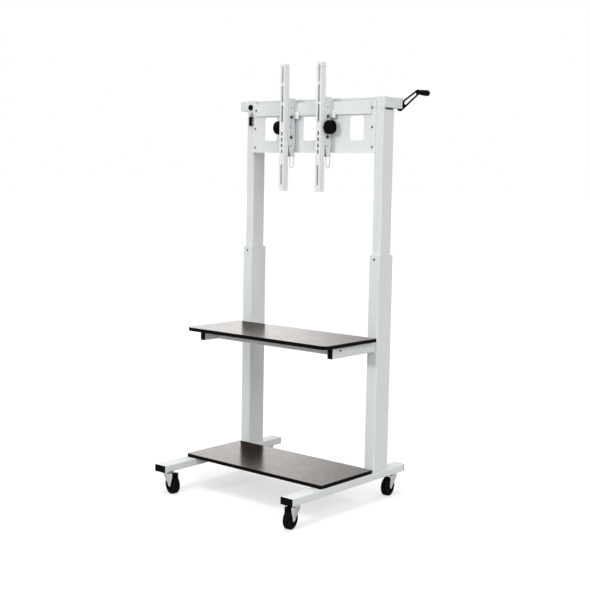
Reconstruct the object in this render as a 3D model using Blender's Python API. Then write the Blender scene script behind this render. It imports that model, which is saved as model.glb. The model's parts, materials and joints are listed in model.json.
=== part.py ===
"""Crank-lift screen cart: two telescoping columns on wheeled feet, two shelves and a tilting screen mount.

Metres, +Z up, front towards -Y. Sizes are measured from a point on the floor midway between the columns.
The finished cart is moved so that the world origin lies on the floor under the middle of its outer box.
"""

import math

import bmesh
import bpy
from mathutils import Matrix, Vector

FIT = 0.0003  # gap between pieces that touch
SHEET = 0.002  # wall of the steel tubes
SIDES = (("left", -1), ("right", 1))

# Feet
COLUMN_SPACING = 0.601
FOOT_WIDTH = 0.050
FOOT_HEIGHT = 0.025
FOOT_FRONT = 0.486  # from the column axis to the tube's front end
FOOT_REAR = 0.139
CAP_FLANGE = 0.003
CAP_DEPTH = 0.014

# Casters
WHEEL_RADIUS = 0.034
WHEEL_WIDTH = 0.022
WHEEL_ROUNDING = 0.004
HUB_RECESS = 0.004
AXLE_RADIUS = 0.004
CASTER_TRAIL = 0.027  # from the swivel axis to the axle
CASTER_INSET = 0.040  # from the foot tube's end to the swivel axis
CROWN_RADIUS = 0.019
CROWN_SHEET = 0.0025
RACE_HEIGHT = 0.005
SWIVEL_PLATE_RADIUS = 0.0185
SWIVEL_PLATE = 0.003
KINGPIN_RADIUS = 0.005
KINGPIN_HEAD = 0.0075
STEM_RADIUS = 0.006
STEM_LENGTH = 0.018
WHEEL_SIDE_GAP = 0.0015
WHEEL_TOP_GAP = 0.002
PEDAL_WIDTH = 0.016
PEDAL_SHEET = 0.0025
PEDAL_REACH = 0.022  # from the axle to the pedal's tip
PEDAL_PIN_RADIUS = 0.002
PEDAL_PIN_BACK = 0.010  # from the axle
PEDAL_PIN_RISE = 0.0035  # above the fork's crown sheet
PEDAL_EAR = 0.006
LEG_TIP_RADIUS = 0.0075
FRONT_TURN = 10  # of the front right caster, whose wheel reaches farthest forward
CASTERS = (  # name, side, end, resting turn of the wheel in degrees, has a brake
    ("front_left", -1, -1, 80, True),
    ("front_right", 1, -1, FRONT_TURN, True),
    ("rear_left", -1, 1, 24, False),
    ("rear_right", 1, 1, 6, False),
)

# Columns
LOWER_WIDTH = 0.044
LOWER_DEPTH = 0.082
LOWER_LENGTH = 0.769
UPPER_WIDTH = 0.036
UPPER_DEPTH = 0.0635
UPPER_LENGTH = 0.9335
COLUMN_CORNER = 0.004
RAISED = 0.349  # how far the upper columns stand above their lowest place
LIFT_UP = 0.120  # how much farther they can rise
GLIDE_HEIGHT = 0.040
GLIDE_LIP = 0.0015
POST_RADIUS = 0.011
POST_WALL = 0.0025
NUT_HEIGHT = 0.030
SCREW_RADIUS = 0.006
SCREW_ENGAGED = 0.025  # what stays in the nut at full height

# Shelves
SHELF_THICKNESS = 0.013
LOWER_SHELF_WIDTH = 0.640
LOWER_SHELF_DEPTH = 0.285
LOWER_SHELF_GAP = 0.007  # from the column's front to the shelf
UPPER_SHELF_WIDTH = 0.656
UPPER_SHELF_DEPTH = 0.281
UPPER_SHELF_TOP = 0.591
UPPER_SHELF_CORNER = 0.022
UPPER_SHELF_GAP = 0.013
SHELF_ARM_WIDTH = 0.021
SHELF_ARM_HEIGHT = 0.038
SHELF_ARM_REACH = 0.234  # from the column's front
SHELF_RAIL_PLACE = 0.157  # from the column's front to the cross rail's middle
SHELF_RAIL_DEPTH = 0.020
ARM_CAP_FLANGE = 0.002
ARM_CAP_DEPTH = 0.012

# Gear housings on the columns
HOUSING_WIDTH = 0.044
HOUSING_HEIGHT = 0.037
RIGHT_HOUSING_FRONT = 0.028  # from the column axis
RIGHT_HOUSING_REAR = 0.070
LEFT_HOUSING_DEPTH = 0.063
STUB_LENGTH = 0.0425
COLUMN_SLOT_HEIGHT = 0.008
PLUG_RADIUS = 0.0105
PLUG_DEPTH = 0.006
GEAR_RADIUS = 0.012
GEAR_FACE = 0.008
GEAR_GAP = 0.0018
SHAFT_RADIUS = 0.005
COLLAR_RADIUS = 0.010
COLLAR_LENGTH = 0.004

# Crank
CRANK_LENGTH = 0.0875
CRANK_ANGLE = 25.4  # above level, at rest
CRANK_SHEET = 0.004
CRANK_HEEL_RADIUS = 0.0135
CRANK_HEEL_DROP = 0.0143  # from the shaft to the heel's middle
CRANK_TIP_RADIUS = 0.009
CRANK_SLOT_START = 0.027
CRANK_SLOT_END = 0.076
CRANK_SLOT_WIDE = 0.0134
CRANK_SLOT_NARROW = 0.009
CRANK_HUB_RADIUS = 0.012
CRANK_STANDOFF = 0.003
GRIP_RADIUS = 0.0105
GRIP_LENGTH = 0.0655
GRIP_PIN_RADIUS = 0.004

# Head plate
PLATE_SHEET = 0.0025
PLATE_BOTTOM = 0.156  # below the housings' underside
HOOK_RAIL_HEIGHT = 0.046
HOOK_RAIL_RISE = 0.024  # above the housings' underside
HOOK_RAIL_JOG = 0.008
PLATE_LAP = 0.005  # over each column's front
PLATE_TAB = 0.020  # flat end beside the hook rail
HOOK_RAIL_CLEAR = 0.013  # from a column to the rail's end
PLATE_LIP = 0.006
WINDOW_WIDTH = 0.062
WINDOW_HEIGHT = 0.086
WINDOW_CORNER = 0.010
WINDOW_PLACES = (-0.196, -0.008, 0.206)
WINDOW_DROP = 0.004  # from the hook rail to a window
CLEAT_WIDTH = 0.024
CLEAT_DEPTH = 0.030

# Tilt brackets and screen rails
RAIL_PLACES = {"left": -0.0885, "right": 0.0815}
RAIL_WIDTH = 0.023
RAIL_DEPTH = 0.024
RAIL_SHEET = 0.002
RAIL_LENGTH = 0.455
RAIL_BELOW_PIVOT = 0.230
RAIL_STANDOFF = 0.0325  # from the tilt axis to the rail's front
LONG_SLOTS = 3
LONG_SLOT_LENGTH = 0.0625
LONG_SLOT_PITCH = 0.070
SHORT_SLOTS = 4
SHORT_SLOT_LENGTH = 0.0155
SHORT_SLOT_PITCH = 0.0216
LOW_SLOT_LENGTH = 0.075
RAIL_SLOT_WIDTH = 0.008
LONG_SLOT_MARGIN = 0.006  # from the rail's top to the first long slot
SHORT_SLOT_DROP = 0.015  # from the tilt axis to the first short slot
LOW_SLOT_DROP = 0.133  # from the tilt axis to the low slot
PIVOT_HEIGHT = 0.066  # below the housings' underside
PIVOT_FORWARD = 0.020  # from the hook rail's face to the tilt axis
BRACKET_SHEET = 0.002
BRACKET_TOP = 0.106  # above the tilt axis
BRACKET_BOTTOM = 0.104
BRACKET_BACK = 0.001  # from the hook rail's face
CHEEK_REACH = 0.020  # in front of the tilt axis
HOOK_DROP = 0.014
TILT_FORWARD = 15.0
TILT_BACK = 5.0
KNOB_RADIUS = 0.0265
KNOB_THICKNESS = 0.025
KNOB_NECKS = {"left": 0.013, "right": 0.0}
KNOB_STUD_RADIUS = 0.004
PULL_WIRE_RADIUS = 0.001
PULL_WIDTH = 0.016
PULL_DROP = 0.040  # below the bracket
PULL_RISE = 0.004
PULL_FORWARD = 0.0035  # in front of the head plate
LATCH_DEPTH = 0.004
LATCH_HEIGHT = 0.008

# Padlock
LOCK_WIDTH = 0.014
LOCK_DEPTH = 0.009
LOCK_SHIFT = 0.009  # from the column axis towards the middle
LOCK_HEIGHT = 0.034
LOCK_EYE_DROP = 0.011  # below the housings' underside
SHACKLE_RADIUS = 0.0015
SHACKLE_SPREAD = 0.004
SHACKLE_HEIGHT = 0.011
EYE_SHEET = 0.002
EYE_REACH = 0.014
EYE_WIDTH = 0.010

# Places worked out from the sizes above
CASTER_HEIGHT = 2 * WHEEL_RADIUS + WHEEL_TOP_GAP + CROWN_SHEET + RACE_HEIGHT + SWIVEL_PLATE + 2 * FIT
FOOT_BOTTOM = CASTER_HEIGHT
FOOT_TOP = FOOT_BOTTOM + FOOT_HEIGHT
COLUMN_X = COLUMN_SPACING / 2
LOWER_BOTTOM = FOOT_TOP + FIT
LOWER_TOP = LOWER_BOTTOM + LOWER_LENGTH
UPPER_BOTTOM = LOWER_BOTTOM + RAISED
HEAD_BASE = UPPER_BOTTOM + UPPER_LENGTH
UPPER_FRONT = -UPPER_DEPTH / 2
LOWER_FRONT = -LOWER_DEPTH / 2
UPPER_SHELF_BASE = UPPER_SHELF_TOP - SHELF_THICKNESS
HOUSING_MIDDLE = HEAD_BASE + FIT + HOUSING_HEIGHT / 2
PLATE_BACK = UPPER_FRONT - FIT
PLATE_FRONT = PLATE_BACK - PLATE_SHEET
HOOK_FACE = PLATE_FRONT - HOOK_RAIL_JOG
HOOK_TOP = HEAD_BASE + HOOK_RAIL_RISE
PIVOT_Y = HOOK_FACE - PIVOT_FORWARD
PIVOT_Z = HEAD_BASE - PIVOT_HEIGHT
CRANK_Y = RIGHT_HOUSING_REAR + CAP_FLANGE + FIT + COLLAR_LENGTH + CRANK_STANDOFF
CRANK_TURN = math.radians(CRANK_ANGLE)
GRIP_X = COLUMN_X + CRANK_LENGTH * math.cos(CRANK_TURN)
GRIP_Z = HOUSING_MIDDLE + CRANK_LENGTH * math.sin(CRANK_TURN)
GRIP_END = CRANK_Y + CRANK_SHEET + FIT + GRIP_LENGTH + 0.002
BOX_RIGHT = GRIP_X + GRIP_RADIUS
BOX_LEFT = -(COLUMN_X + HOUSING_WIDTH / 2 + STUB_LENGTH)
WHEEL_TURN = math.radians(FRONT_TURN)
WHEEL_REACH = (CASTER_TRAIL + WHEEL_RADIUS) * math.cos(WHEEL_TURN)
WHEEL_REACH += (WHEEL_WIDTH / 2 - WHEEL_ROUNDING) * math.sin(WHEEL_TURN)
BOX_FRONT = -(FOOT_FRONT - CASTER_INSET + WHEEL_REACH)
BOX_BACK = max(GRIP_END, FOOT_REAR + CAP_FLANGE)

# Planes for flat outlines: the outline's own X, Y and normal become these world axes
LYING = Matrix.Identity(4)
FRONTAL = Matrix(((1, 0, 0, 0), (0, 0, -1, 0), (0, 1, 0, 0), (0, 0, 0, 1)))
SIDEWAYS = Matrix(((0, 0, 1, 0), (1, 0, 0, 0), (0, 1, 0, 0), (0, 0, 0, 1)))

# Turns that lay a body made along Z on another axis
TURNS = {
    "X": Matrix.Rotation(math.pi / 2, 4, "Y"),
    "Y": Matrix.Rotation(math.pi / 2, 4, "X"),
    "Z": Matrix.Identity(4),
}

for old in list(bpy.data.objects):
    bpy.data.objects.remove(old, do_unlink=True)

cart_pieces = bpy.data.collections.new("screen_cart")
cutters = bpy.data.collections.new("cutters")
bpy.context.scene.collection.children.link(cart_pieces)
bpy.context.scene.collection.children.link(cutters)


def material(name, colour, roughness, metallic=0.0):
    made = bpy.data.materials.new(name)
    made.use_nodes = True
    shader = made.node_tree.nodes["Principled BSDF"]
    shader.inputs["Base Color"].default_value = (*colour, 1)
    shader.inputs["Roughness"].default_value = roughness
    shader.inputs["Metallic"].default_value = metallic
    return made


WHITE_PAINT = material("white_paint", (0.80, 0.81, 0.82), 0.45)
LAMINATE = material("dark_laminate", (0.035, 0.028, 0.025), 0.25)
BLACK_PLASTIC = material("black_plastic", (0.012, 0.012, 0.013), 0.5)
BLACK_RUBBER = material("black_rubber", (0.015, 0.015, 0.015), 0.7)
ZINC = material("zinc", (0.62, 0.66, 0.62), 0.35, 1.0)
STEEL = material("steel", (0.45, 0.45, 0.46), 0.35, 1.0)
WHITE_PLASTIC = material("white_plastic", (0.75, 0.76, 0.76), 0.5)


def empty(name, place, parent=None, turn=0.0):
    made = bpy.data.objects.new(name, None)
    made.location = place
    made.rotation_euler = (0, 0, turn)
    made.parent = parent
    cart_pieces.objects.link(made)
    return made


cart = empty("cart", (-(BOX_LEFT + BOX_RIGHT) / 2, -(BOX_FRONT + BOX_BACK) / 2, 0))


def new_piece(name, mesh, finish, parent, place=(0, 0, 0)):
    made = bpy.data.objects.new(name, mesh)
    made.location = place
    made.parent = parent
    mesh.materials.clear()
    mesh.materials.append(finish)
    mesh.shade_smooth()
    mesh.set_sharp_from_angle(angle=math.radians(35))
    cart_pieces.objects.link(made)
    return made


def mesh_of(bm, name="shape"):
    bmesh.ops.recalc_face_normals(bm, faces=bm.faces)
    if bm.calc_volume(signed=True) < 0:
        bmesh.ops.reverse_faces(bm, faces=bm.faces)
    mesh = bpy.data.meshes.new(name)
    bm.to_mesh(mesh)
    bm.free()
    return mesh


def block(size, middle):
    """A box with its middle at a point."""
    bm = bmesh.new()
    bmesh.ops.create_cube(bm, size=1.0, matrix=Matrix.Translation(middle) @ Matrix.Diagonal((*size, 1)))
    return mesh_of(bm)


def span(low, high):
    """A box between two corners."""
    size = [b - a for a, b in zip(low, high)]
    middle = [(a + b) / 2 for a, b in zip(low, high)]
    return block(size, middle)


def rounded_block(size, middle, axis, radius, segments=3):
    """A box whose four edges along one axis are rounded."""
    bm = bmesh.new()
    bmesh.ops.create_cube(bm, size=1.0, matrix=Matrix.Translation(middle) @ Matrix.Diagonal((*size, 1)))
    edges = [e for e in bm.edges if abs((e.verts[0].co - e.verts[1].co)[axis]) > size[axis] / 2]
    bmesh.ops.bevel(bm, geom=edges, offset=radius, segments=segments, profile=0.5, affect="EDGES")
    return mesh_of(bm)


def rod(radius, length, middle, axis="Z", sides=20):
    """A round bar along an axis, its middle at a point."""
    bm = bmesh.new()
    bmesh.ops.create_cone(
        bm,
        cap_ends=True,
        segments=sides,
        radius1=radius,
        radius2=radius,
        depth=length,
        matrix=Matrix.Translation(middle) @ TURNS[axis],
    )
    return mesh_of(bm)


def arc(centre, radius, start, end, steps):
    """Points on an arc, from one angle to another in degrees."""
    angles = [math.radians(start + (end - start) * i / steps) for i in range(steps + 1)]
    return [(centre[0] + radius * math.cos(a), centre[1] + radius * math.sin(a)) for a in angles]


def rounded_outline(width, height, radius, middle=(0, 0), steps=3):
    """A rectangle with rounded corners, as outline points."""
    x = width / 2 - radius
    y = height / 2 - radius
    points = []
    for k, (a, b) in enumerate(((x, y), (-x, y), (-x, -y), (x, -y))):
        points += arc((middle[0] + a, middle[1] + b), radius, 90 * k, 90 * k + 90, steps)
    return points


def slot_outline(length, width, middle, angle=0.0, steps=4):
    """A slot with round ends; its length lies at an angle in degrees."""
    half = (length - width) / 2
    along = Vector((math.cos(math.radians(angle)), math.sin(math.radians(angle))))
    ends = (Vector(middle) + along * half, Vector(middle) - along * half)
    points = arc(ends[0], width / 2, angle - 90, angle + 90, steps)
    return points + arc(ends[1], width / 2, angle + 90, angle + 270, steps)


def belt_outline(first, first_radius, second, second_radius, steps=6):
    """The outline of a belt round two circles."""
    line = Vector(second) - Vector(first)
    angle = math.degrees(math.atan2(line.y, line.x))
    spread = math.degrees(math.acos((first_radius - second_radius) / line.length))
    points = arc(second, second_radius, angle - spread, angle + spread, steps)
    return points + arc(first, first_radius, angle + spread, angle + 360 - spread, 2 * steps)


def plate(outlines, thickness, plane=LYING, place=(0, 0, 0)):
    """A flat sheet from an outline and its holes, its middle layer through a place."""
    curve = bpy.data.curves.new("outline", "CURVE")
    curve.dimensions = "2D"
    curve.fill_mode = "BOTH"
    curve.extrude = thickness / 2
    for points in outlines:
        spline = curve.splines.new("POLY")
        spline.points.add(len(points) - 1)
        for point, (x, y) in zip(spline.points, points):
            point.co = (x, y, 0, 1)
        spline.use_cyclic_u = True
    flat = bpy.data.objects.new("outline", curve)
    bpy.context.scene.collection.objects.link(flat)
    graph = bpy.context.evaluated_depsgraph_get()
    mesh = bpy.data.meshes.new_from_object(flat.evaluated_get(graph))
    bpy.data.objects.remove(flat, do_unlink=True)
    bm = bmesh.new()
    bm.from_mesh(mesh)
    bmesh.ops.remove_doubles(bm, verts=bm.verts, dist=0.00001)
    bm.transform(Matrix.Translation(place) @ plane)
    return mesh_of(bm)


def turned(profile, sides=24, axis="Z", place=(0, 0, 0), bore=False):
    """A turned body from (radius, height) points, listed from the top down; a bored one closes on itself."""
    bm = bmesh.new()
    ring = [bm.verts.new((r, 0, z)) for r, z in profile]
    edges = [bm.edges.new(pair) for pair in zip(ring, ring[1:])]
    if bore:
        edges.append(bm.edges.new((ring[-1], ring[0])))
    bmesh.ops.spin(
        bm,
        geom=edges + ring,
        cent=(0, 0, 0),
        axis=(0, 0, 1),
        angle=math.tau,
        steps=sides,
        use_merge=True,
    )
    bmesh.ops.remove_doubles(bm, verts=bm.verts, dist=0.000005)
    bm.transform(Matrix.Translation(place) @ TURNS[axis])
    return mesh_of(bm)


def wire(points, radius, sides=2):
    """A round wire along points, as a closed mesh."""
    curve = bpy.data.curves.new("wire", "CURVE")
    curve.dimensions = "3D"
    curve.bevel_depth = radius
    curve.bevel_resolution = sides
    curve.use_fill_caps = True
    spline = curve.splines.new("POLY")
    spline.points.add(len(points) - 1)
    for point, co in zip(spline.points, points):
        point.co = (*co, 1)
    line = bpy.data.objects.new("wire", curve)
    bpy.context.scene.collection.objects.link(line)
    graph = bpy.context.evaluated_depsgraph_get()
    mesh = bpy.data.meshes.new_from_object(line.evaluated_get(graph))
    bpy.data.objects.remove(line, do_unlink=True)
    bm = bmesh.new()
    bm.from_mesh(mesh)
    bmesh.ops.remove_doubles(bm, verts=bm.verts, dist=0.000005)
    return mesh_of(bm)


def combine(piece, mesh, operation, label):
    """Adds a hidden helper at the piece's own place, and a Boolean that joins or cuts with it."""
    helper = bpy.data.objects.new(f"{piece.name}_{label}", mesh)
    helper.parent = piece
    helper.hide_render = True
    helper.display_type = "WIRE"
    cutters.objects.link(helper)
    step = piece.modifiers.new(label, "BOOLEAN")
    step.operation = operation
    step.object = helper
    return piece


def cut(piece, mesh, label):
    return combine(piece, mesh, "DIFFERENCE", label)


def join(piece, mesh, label):
    return combine(piece, mesh, "UNION", label)


def together(meshes):
    """Several separate shapes in one mesh, for cutting them all at once."""
    bm = bmesh.new()
    for mesh in meshes:
        bm.from_mesh(mesh)
    made = bpy.data.meshes.new("shapes")
    bm.to_mesh(made)
    bm.free()
    return made


def square_tube(name, size, middle, axis, wall, corner, finish, parent):
    """A rectangular tube with rounded corners, open at both ends along its axis."""
    across = [i for i in range(3) if i != axis]
    outer = rounded_outline(size[across[0]], size[across[1]], corner)
    inner = rounded_outline(
        size[across[0]] - 2 * wall, size[across[1]] - 2 * wall, max(corner - wall, 0.0005)
    )
    bm = bmesh.new()
    rings = []
    for outline, end in ((outer, -1), (outer, 1), (inner, 1), (inner, -1)):
        ring = []
        for a, b in outline:
            point = [0.0, 0.0, 0.0]
            point[across[0]] = a
            point[across[1]] = b
            point[axis] = end * size[axis] / 2
            ring.append(bm.verts.new(Vector(middle) + Vector(point)))
        rings.append(ring)
    for ring, following in zip(rings, rings[1:] + rings[:1]):
        for k in range(len(ring)):
            bm.faces.new((ring[k - 1], ring[k], following[k], following[k - 1]))
    return new_piece(name, mesh_of(bm), finish, parent)


def end_cap(name, size, end, direction, wall, flange, depth, parent):
    """A plastic cap on the end of a tube that runs along Y: a flange outside and a plug inside."""
    width, height = size
    face = block((width, flange, height), (end[0], end[1] + direction * (FIT + flange / 2), end[2]))
    cap = new_piece(name, face, BLACK_PLASTIC, parent)
    gap = 2 * (wall + FIT)
    plug = block(
        (width - gap, depth + FIT + flange / 2, height - gap),
        (end[0], end[1] + direction * (FIT + flange / 2 - (depth + FIT + flange / 2) / 2), end[2]),
    )
    return join(cap, plug, "plug")


def make_foot(side, sign):
    x = sign * COLUMN_X
    length = FOOT_FRONT + FOOT_REAR
    middle = (x, (FOOT_REAR - FOOT_FRONT) / 2, FOOT_BOTTOM + FOOT_HEIGHT / 2)
    size = (FOOT_WIDTH, length, FOOT_HEIGHT)
    foot = square_tube(f"foot_{side}", size, middle, 1, SHEET, COLUMN_CORNER / 2, WHITE_PAINT, cart)
    stems = [
        rod(STEM_RADIUS + FIT, 3 * SHEET, (x, y, FOOT_BOTTOM + SHEET / 2))
        for y in (CASTER_INSET - FOOT_FRONT, FOOT_REAR - CASTER_INSET)
    ]
    cut(foot, together(stems), "stem_holes")
    for label, y, direction in (("front", -FOOT_FRONT, -1), ("rear", FOOT_REAR, 1)):
        end = (x, y, FOOT_BOTTOM + FOOT_HEIGHT / 2)
        size = (FOOT_WIDTH, FOOT_HEIGHT)
        end_cap(f"foot_cap_{label}_{side}", size, end, direction, SHEET, CAP_FLANGE, CAP_DEPTH, cart)


def make_caster(name, sign, end, turn, braked):
    """A swivel caster; its wheel trails towards -Y before it is turned about the swivel."""
    y = CASTER_INSET - FOOT_FRONT if end < 0 else FOOT_REAR - CASTER_INSET
    x = sign * COLUMN_X
    plate_low = CASTER_HEIGHT - FIT - SWIVEL_PLATE
    crown_top = plate_low - FIT - RACE_HEIGHT
    crown_low = crown_top - CROWN_SHEET
    pin_low = crown_low - FIT - 0.002
    mount = turned(
        [
            (0, CASTER_HEIGHT + STEM_LENGTH),
            (STEM_RADIUS, CASTER_HEIGHT + STEM_LENGTH),
            (STEM_RADIUS, CASTER_HEIGHT - FIT),
            (SWIVEL_PLATE_RADIUS, CASTER_HEIGHT - FIT),
            (SWIVEL_PLATE_RADIUS, plate_low),
            (KINGPIN_RADIUS, plate_low),
            (KINGPIN_RADIUS, crown_low - FIT),
            (KINGPIN_HEAD, crown_low - FIT),
            (KINGPIN_HEAD, pin_low),
            (0, pin_low),
        ]
    )
    new_piece(f"caster_mount_{name}", mount, ZINC, cart, (x, y, 0))

    swivel = empty(f"swivel_{name}", (x, y, 0), cart, math.radians(turn))
    leg_inner = WHEEL_WIDTH / 2 + WHEEL_SIDE_GAP
    leg_middle = leg_inner + CROWN_SHEET / 2
    axle = (-CASTER_TRAIL, WHEEL_RADIUS)
    crown = turned(
        [
            (KINGPIN_RADIUS + FIT, crown_top + RACE_HEIGHT),
            (CROWN_RADIUS - 0.001, crown_top + RACE_HEIGHT),
            (CROWN_RADIUS, crown_top),
            (CROWN_RADIUS, crown_low),
            (KINGPIN_RADIUS + FIT, crown_low),
        ],
        bore=True,
    )
    fork = new_piece(f"caster_fork_{name}", crown, ZINC, swivel)
    pin = (axle[0] - PEDAL_PIN_BACK, crown_low + PEDAL_PIN_RISE)
    ear = pin[0] - PEDAL_EAR if braked else axle[0] - 0.004
    leg = [(CROWN_RADIUS - 0.009, crown_top)]
    if braked:
        ear_top = pin[1] + PEDAL_EAR - 0.0015
        leg.append((pin[0] + PEDAL_EAR + 0.001, crown_top))
        leg.append((pin[0] + PEDAL_EAR - 0.002, ear_top))
        leg.append((ear, ear_top))
    else:
        leg.append((ear, crown_top))
    leg.append((ear, crown_low - 0.007))
    leg += arc(axle, LEG_TIP_RADIUS, 190, 340, 6)
    leg.append((CROWN_RADIUS - 0.009, crown_low - 0.006))
    legs = [plate([leg], CROWN_SHEET, SIDEWAYS, (s * leg_middle, 0, 0)) for s in (-1, 1)]
    join(fork, legs[0], "leg_left")
    join(fork, legs[1], "leg_right")
    join(fork, rod(AXLE_RADIUS, 2 * (leg_inner + CROWN_SHEET + 0.002), (0, *axle), "X", 16), "axle")
    if braked:
        join(fork, rod(PEDAL_PIN_RADIUS, 2 * leg_inner + 0.004, (0, *pin), "X", 12), "pedal_pin")

    hub = empty(f"axle_{name}", (0, *axle), swivel)
    half = WHEEL_WIDTH / 2
    edge = WHEEL_RADIUS - WHEEL_ROUNDING
    rim = edge - 0.004
    recess = half - HUB_RECESS
    profile = [(AXLE_RADIUS + FIT, half), (0.010, half), (0.012, recess), (rim - 0.002, recess), (rim, half)]
    profile += [(edge + r, z) for r, z in arc((0, half - WHEEL_ROUNDING), WHEEL_ROUNDING, 90, 0, 3)]
    profile += [(r, -z) for r, z in reversed(profile)]
    new_piece(f"caster_wheel_{name}", turned(profile, 28, "X", bore=True), BLACK_RUBBER, hub)
    if braked:
        make_pedal(name, swivel, pin, axle)


def make_pedal(name, swivel, pin, axle):
    """A foot pedal hinged on the fork's pin: a bent strip over the wheel with a turned-up tip."""
    hinge = empty(f"pedal_{name}", (0, *pin), swivel)
    tip = axle[0] - PEDAL_REACH - pin[0]
    grip = PEDAL_PIN_RADIUS + FIT
    wrap = grip + PEDAL_SHEET
    strip = [(0.004, wrap), (-0.005, wrap), (tip, 0.001)]
    strip += [(tip, -wrap - 0.001), (-0.004, -wrap), (0.004, -wrap)]
    hole = arc((0, 0), grip, 0, 330, 11)
    mesh = plate([strip, hole], PEDAL_WIDTH - 2 * FIT, SIDEWAYS)
    new_piece(f"caster_pedal_{name}", mesh, BLACK_PLASTIC, hinge)


def make_lower_column(side, sign):
    x = sign * COLUMN_X
    middle = (x, 0, (LOWER_BOTTOM + LOWER_TOP) / 2)
    square_tube(
        f"lower_column_{side}",
        (LOWER_WIDTH, LOWER_DEPTH, LOWER_LENGTH),
        middle,
        2,
        SHEET,
        COLUMN_CORNER,
        WHITE_PAINT,
        cart,
    )
    width = LOWER_WIDTH - 2 * (SHEET + FIT)
    depth = LOWER_DEPTH - 2 * (SHEET + FIT)
    hole = rounded_outline(UPPER_WIDTH + 2 * FIT, UPPER_DEPTH + 2 * FIT, COLUMN_CORNER)
    body = rounded_outline(width, depth, COLUMN_CORNER / 2)
    sleeve = plate([body, hole], GLIDE_HEIGHT, LYING, (x, 0, LOWER_TOP - GLIDE_HEIGHT / 2))
    glide = new_piece(f"column_glide_{side}", sleeve, WHITE_PLASTIC, cart)
    lip = plate(
        [rounded_outline(LOWER_WIDTH - 0.001, LOWER_DEPTH - 0.001, COLUMN_CORNER), hole],
        GLIDE_LIP,
        LYING,
        (x, 0, LOWER_TOP + FIT + GLIDE_LIP / 2),
    )
    neck = plate([body, hole], 4 * FIT, LYING, (x, 0, LOWER_TOP + FIT))
    join(glide, neck, "neck")
    join(glide, lip, "lip")

    nut_top = LOWER_TOP - GLIDE_HEIGHT
    post = turned(
        [
            (SCREW_RADIUS + FIT, nut_top),
            (POST_RADIUS + 0.002, nut_top),
            (POST_RADIUS + 0.002, nut_top - NUT_HEIGHT),
            (POST_RADIUS, nut_top - NUT_HEIGHT),
            (POST_RADIUS, LOWER_BOTTOM + 0.004),
            (LOWER_WIDTH / 2 - SHEET - 0.001, LOWER_BOTTOM + 0.004),
            (LOWER_WIDTH / 2 - SHEET - 0.001, LOWER_BOTTOM),
            (POST_RADIUS - POST_WALL, LOWER_BOTTOM),
            (POST_RADIUS - POST_WALL, nut_top - NUT_HEIGHT),
            (SCREW_RADIUS + FIT, nut_top - NUT_HEIGHT),
        ],
        16,
        bore=True,
    )
    new_piece(f"lift_post_{side}", post, STEEL, cart, (x, 0, 0))


def make_shelves():
    back = LOWER_FRONT - LOWER_SHELF_GAP
    low = plate(
        [rounded_outline(LOWER_SHELF_WIDTH, LOWER_SHELF_DEPTH, 0.003)],
        SHELF_THICKNESS,
        LYING,
        (0, back - LOWER_SHELF_DEPTH / 2, FOOT_TOP + FIT + SHELF_THICKNESS / 2),
    )
    new_piece("lower_shelf", low, LAMINATE, cart)

    back = LOWER_FRONT - UPPER_SHELF_GAP
    x = UPPER_SHELF_WIDTH / 2
    front = back - UPPER_SHELF_DEPTH
    r = UPPER_SHELF_CORNER
    outline = [(x, back), (-x, back)]
    outline += arc((-x + r, front + r), r, 180, 270, 6)
    outline += arc((x - r, front + r), r, 270, 360, 6)
    high = plate([outline], SHELF_THICKNESS, LYING, (0, 0, UPPER_SHELF_TOP - SHELF_THICKNESS / 2))
    new_piece("upper_shelf", high, LAMINATE, cart)

    arm_middle = UPPER_SHELF_BASE - FIT - SHELF_ARM_HEIGHT / 2
    for side, sign in SIDES:
        end = (sign * COLUMN_X, LOWER_FRONT - FIT - SHELF_ARM_REACH, arm_middle)
        middle = (sign * COLUMN_X, LOWER_FRONT - FIT - SHELF_ARM_REACH / 2, arm_middle)
        square_tube(
            f"shelf_arm_{side}",
            (SHELF_ARM_WIDTH, SHELF_ARM_REACH, SHELF_ARM_HEIGHT),
            middle,
            1,
            SHEET,
            COLUMN_CORNER / 2,
            WHITE_PAINT,
            cart,
        )
        end_cap(
            f"shelf_arm_cap_{side}",
            (SHELF_ARM_WIDTH, SHELF_ARM_HEIGHT),
            end,
            -1,
            SHEET,
            ARM_CAP_FLANGE,
            ARM_CAP_DEPTH,
            cart,
        )
    length = COLUMN_SPACING - SHELF_ARM_WIDTH - 2 * FIT
    square_tube(
        "shelf_cross_rail",
        (length, SHELF_RAIL_DEPTH, SHELF_ARM_HEIGHT),
        (0, LOWER_FRONT - SHELF_RAIL_PLACE, arm_middle),
        0,
        SHEET,
        COLUMN_CORNER / 2,
        WHITE_PAINT,
        cart,
    )


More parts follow.
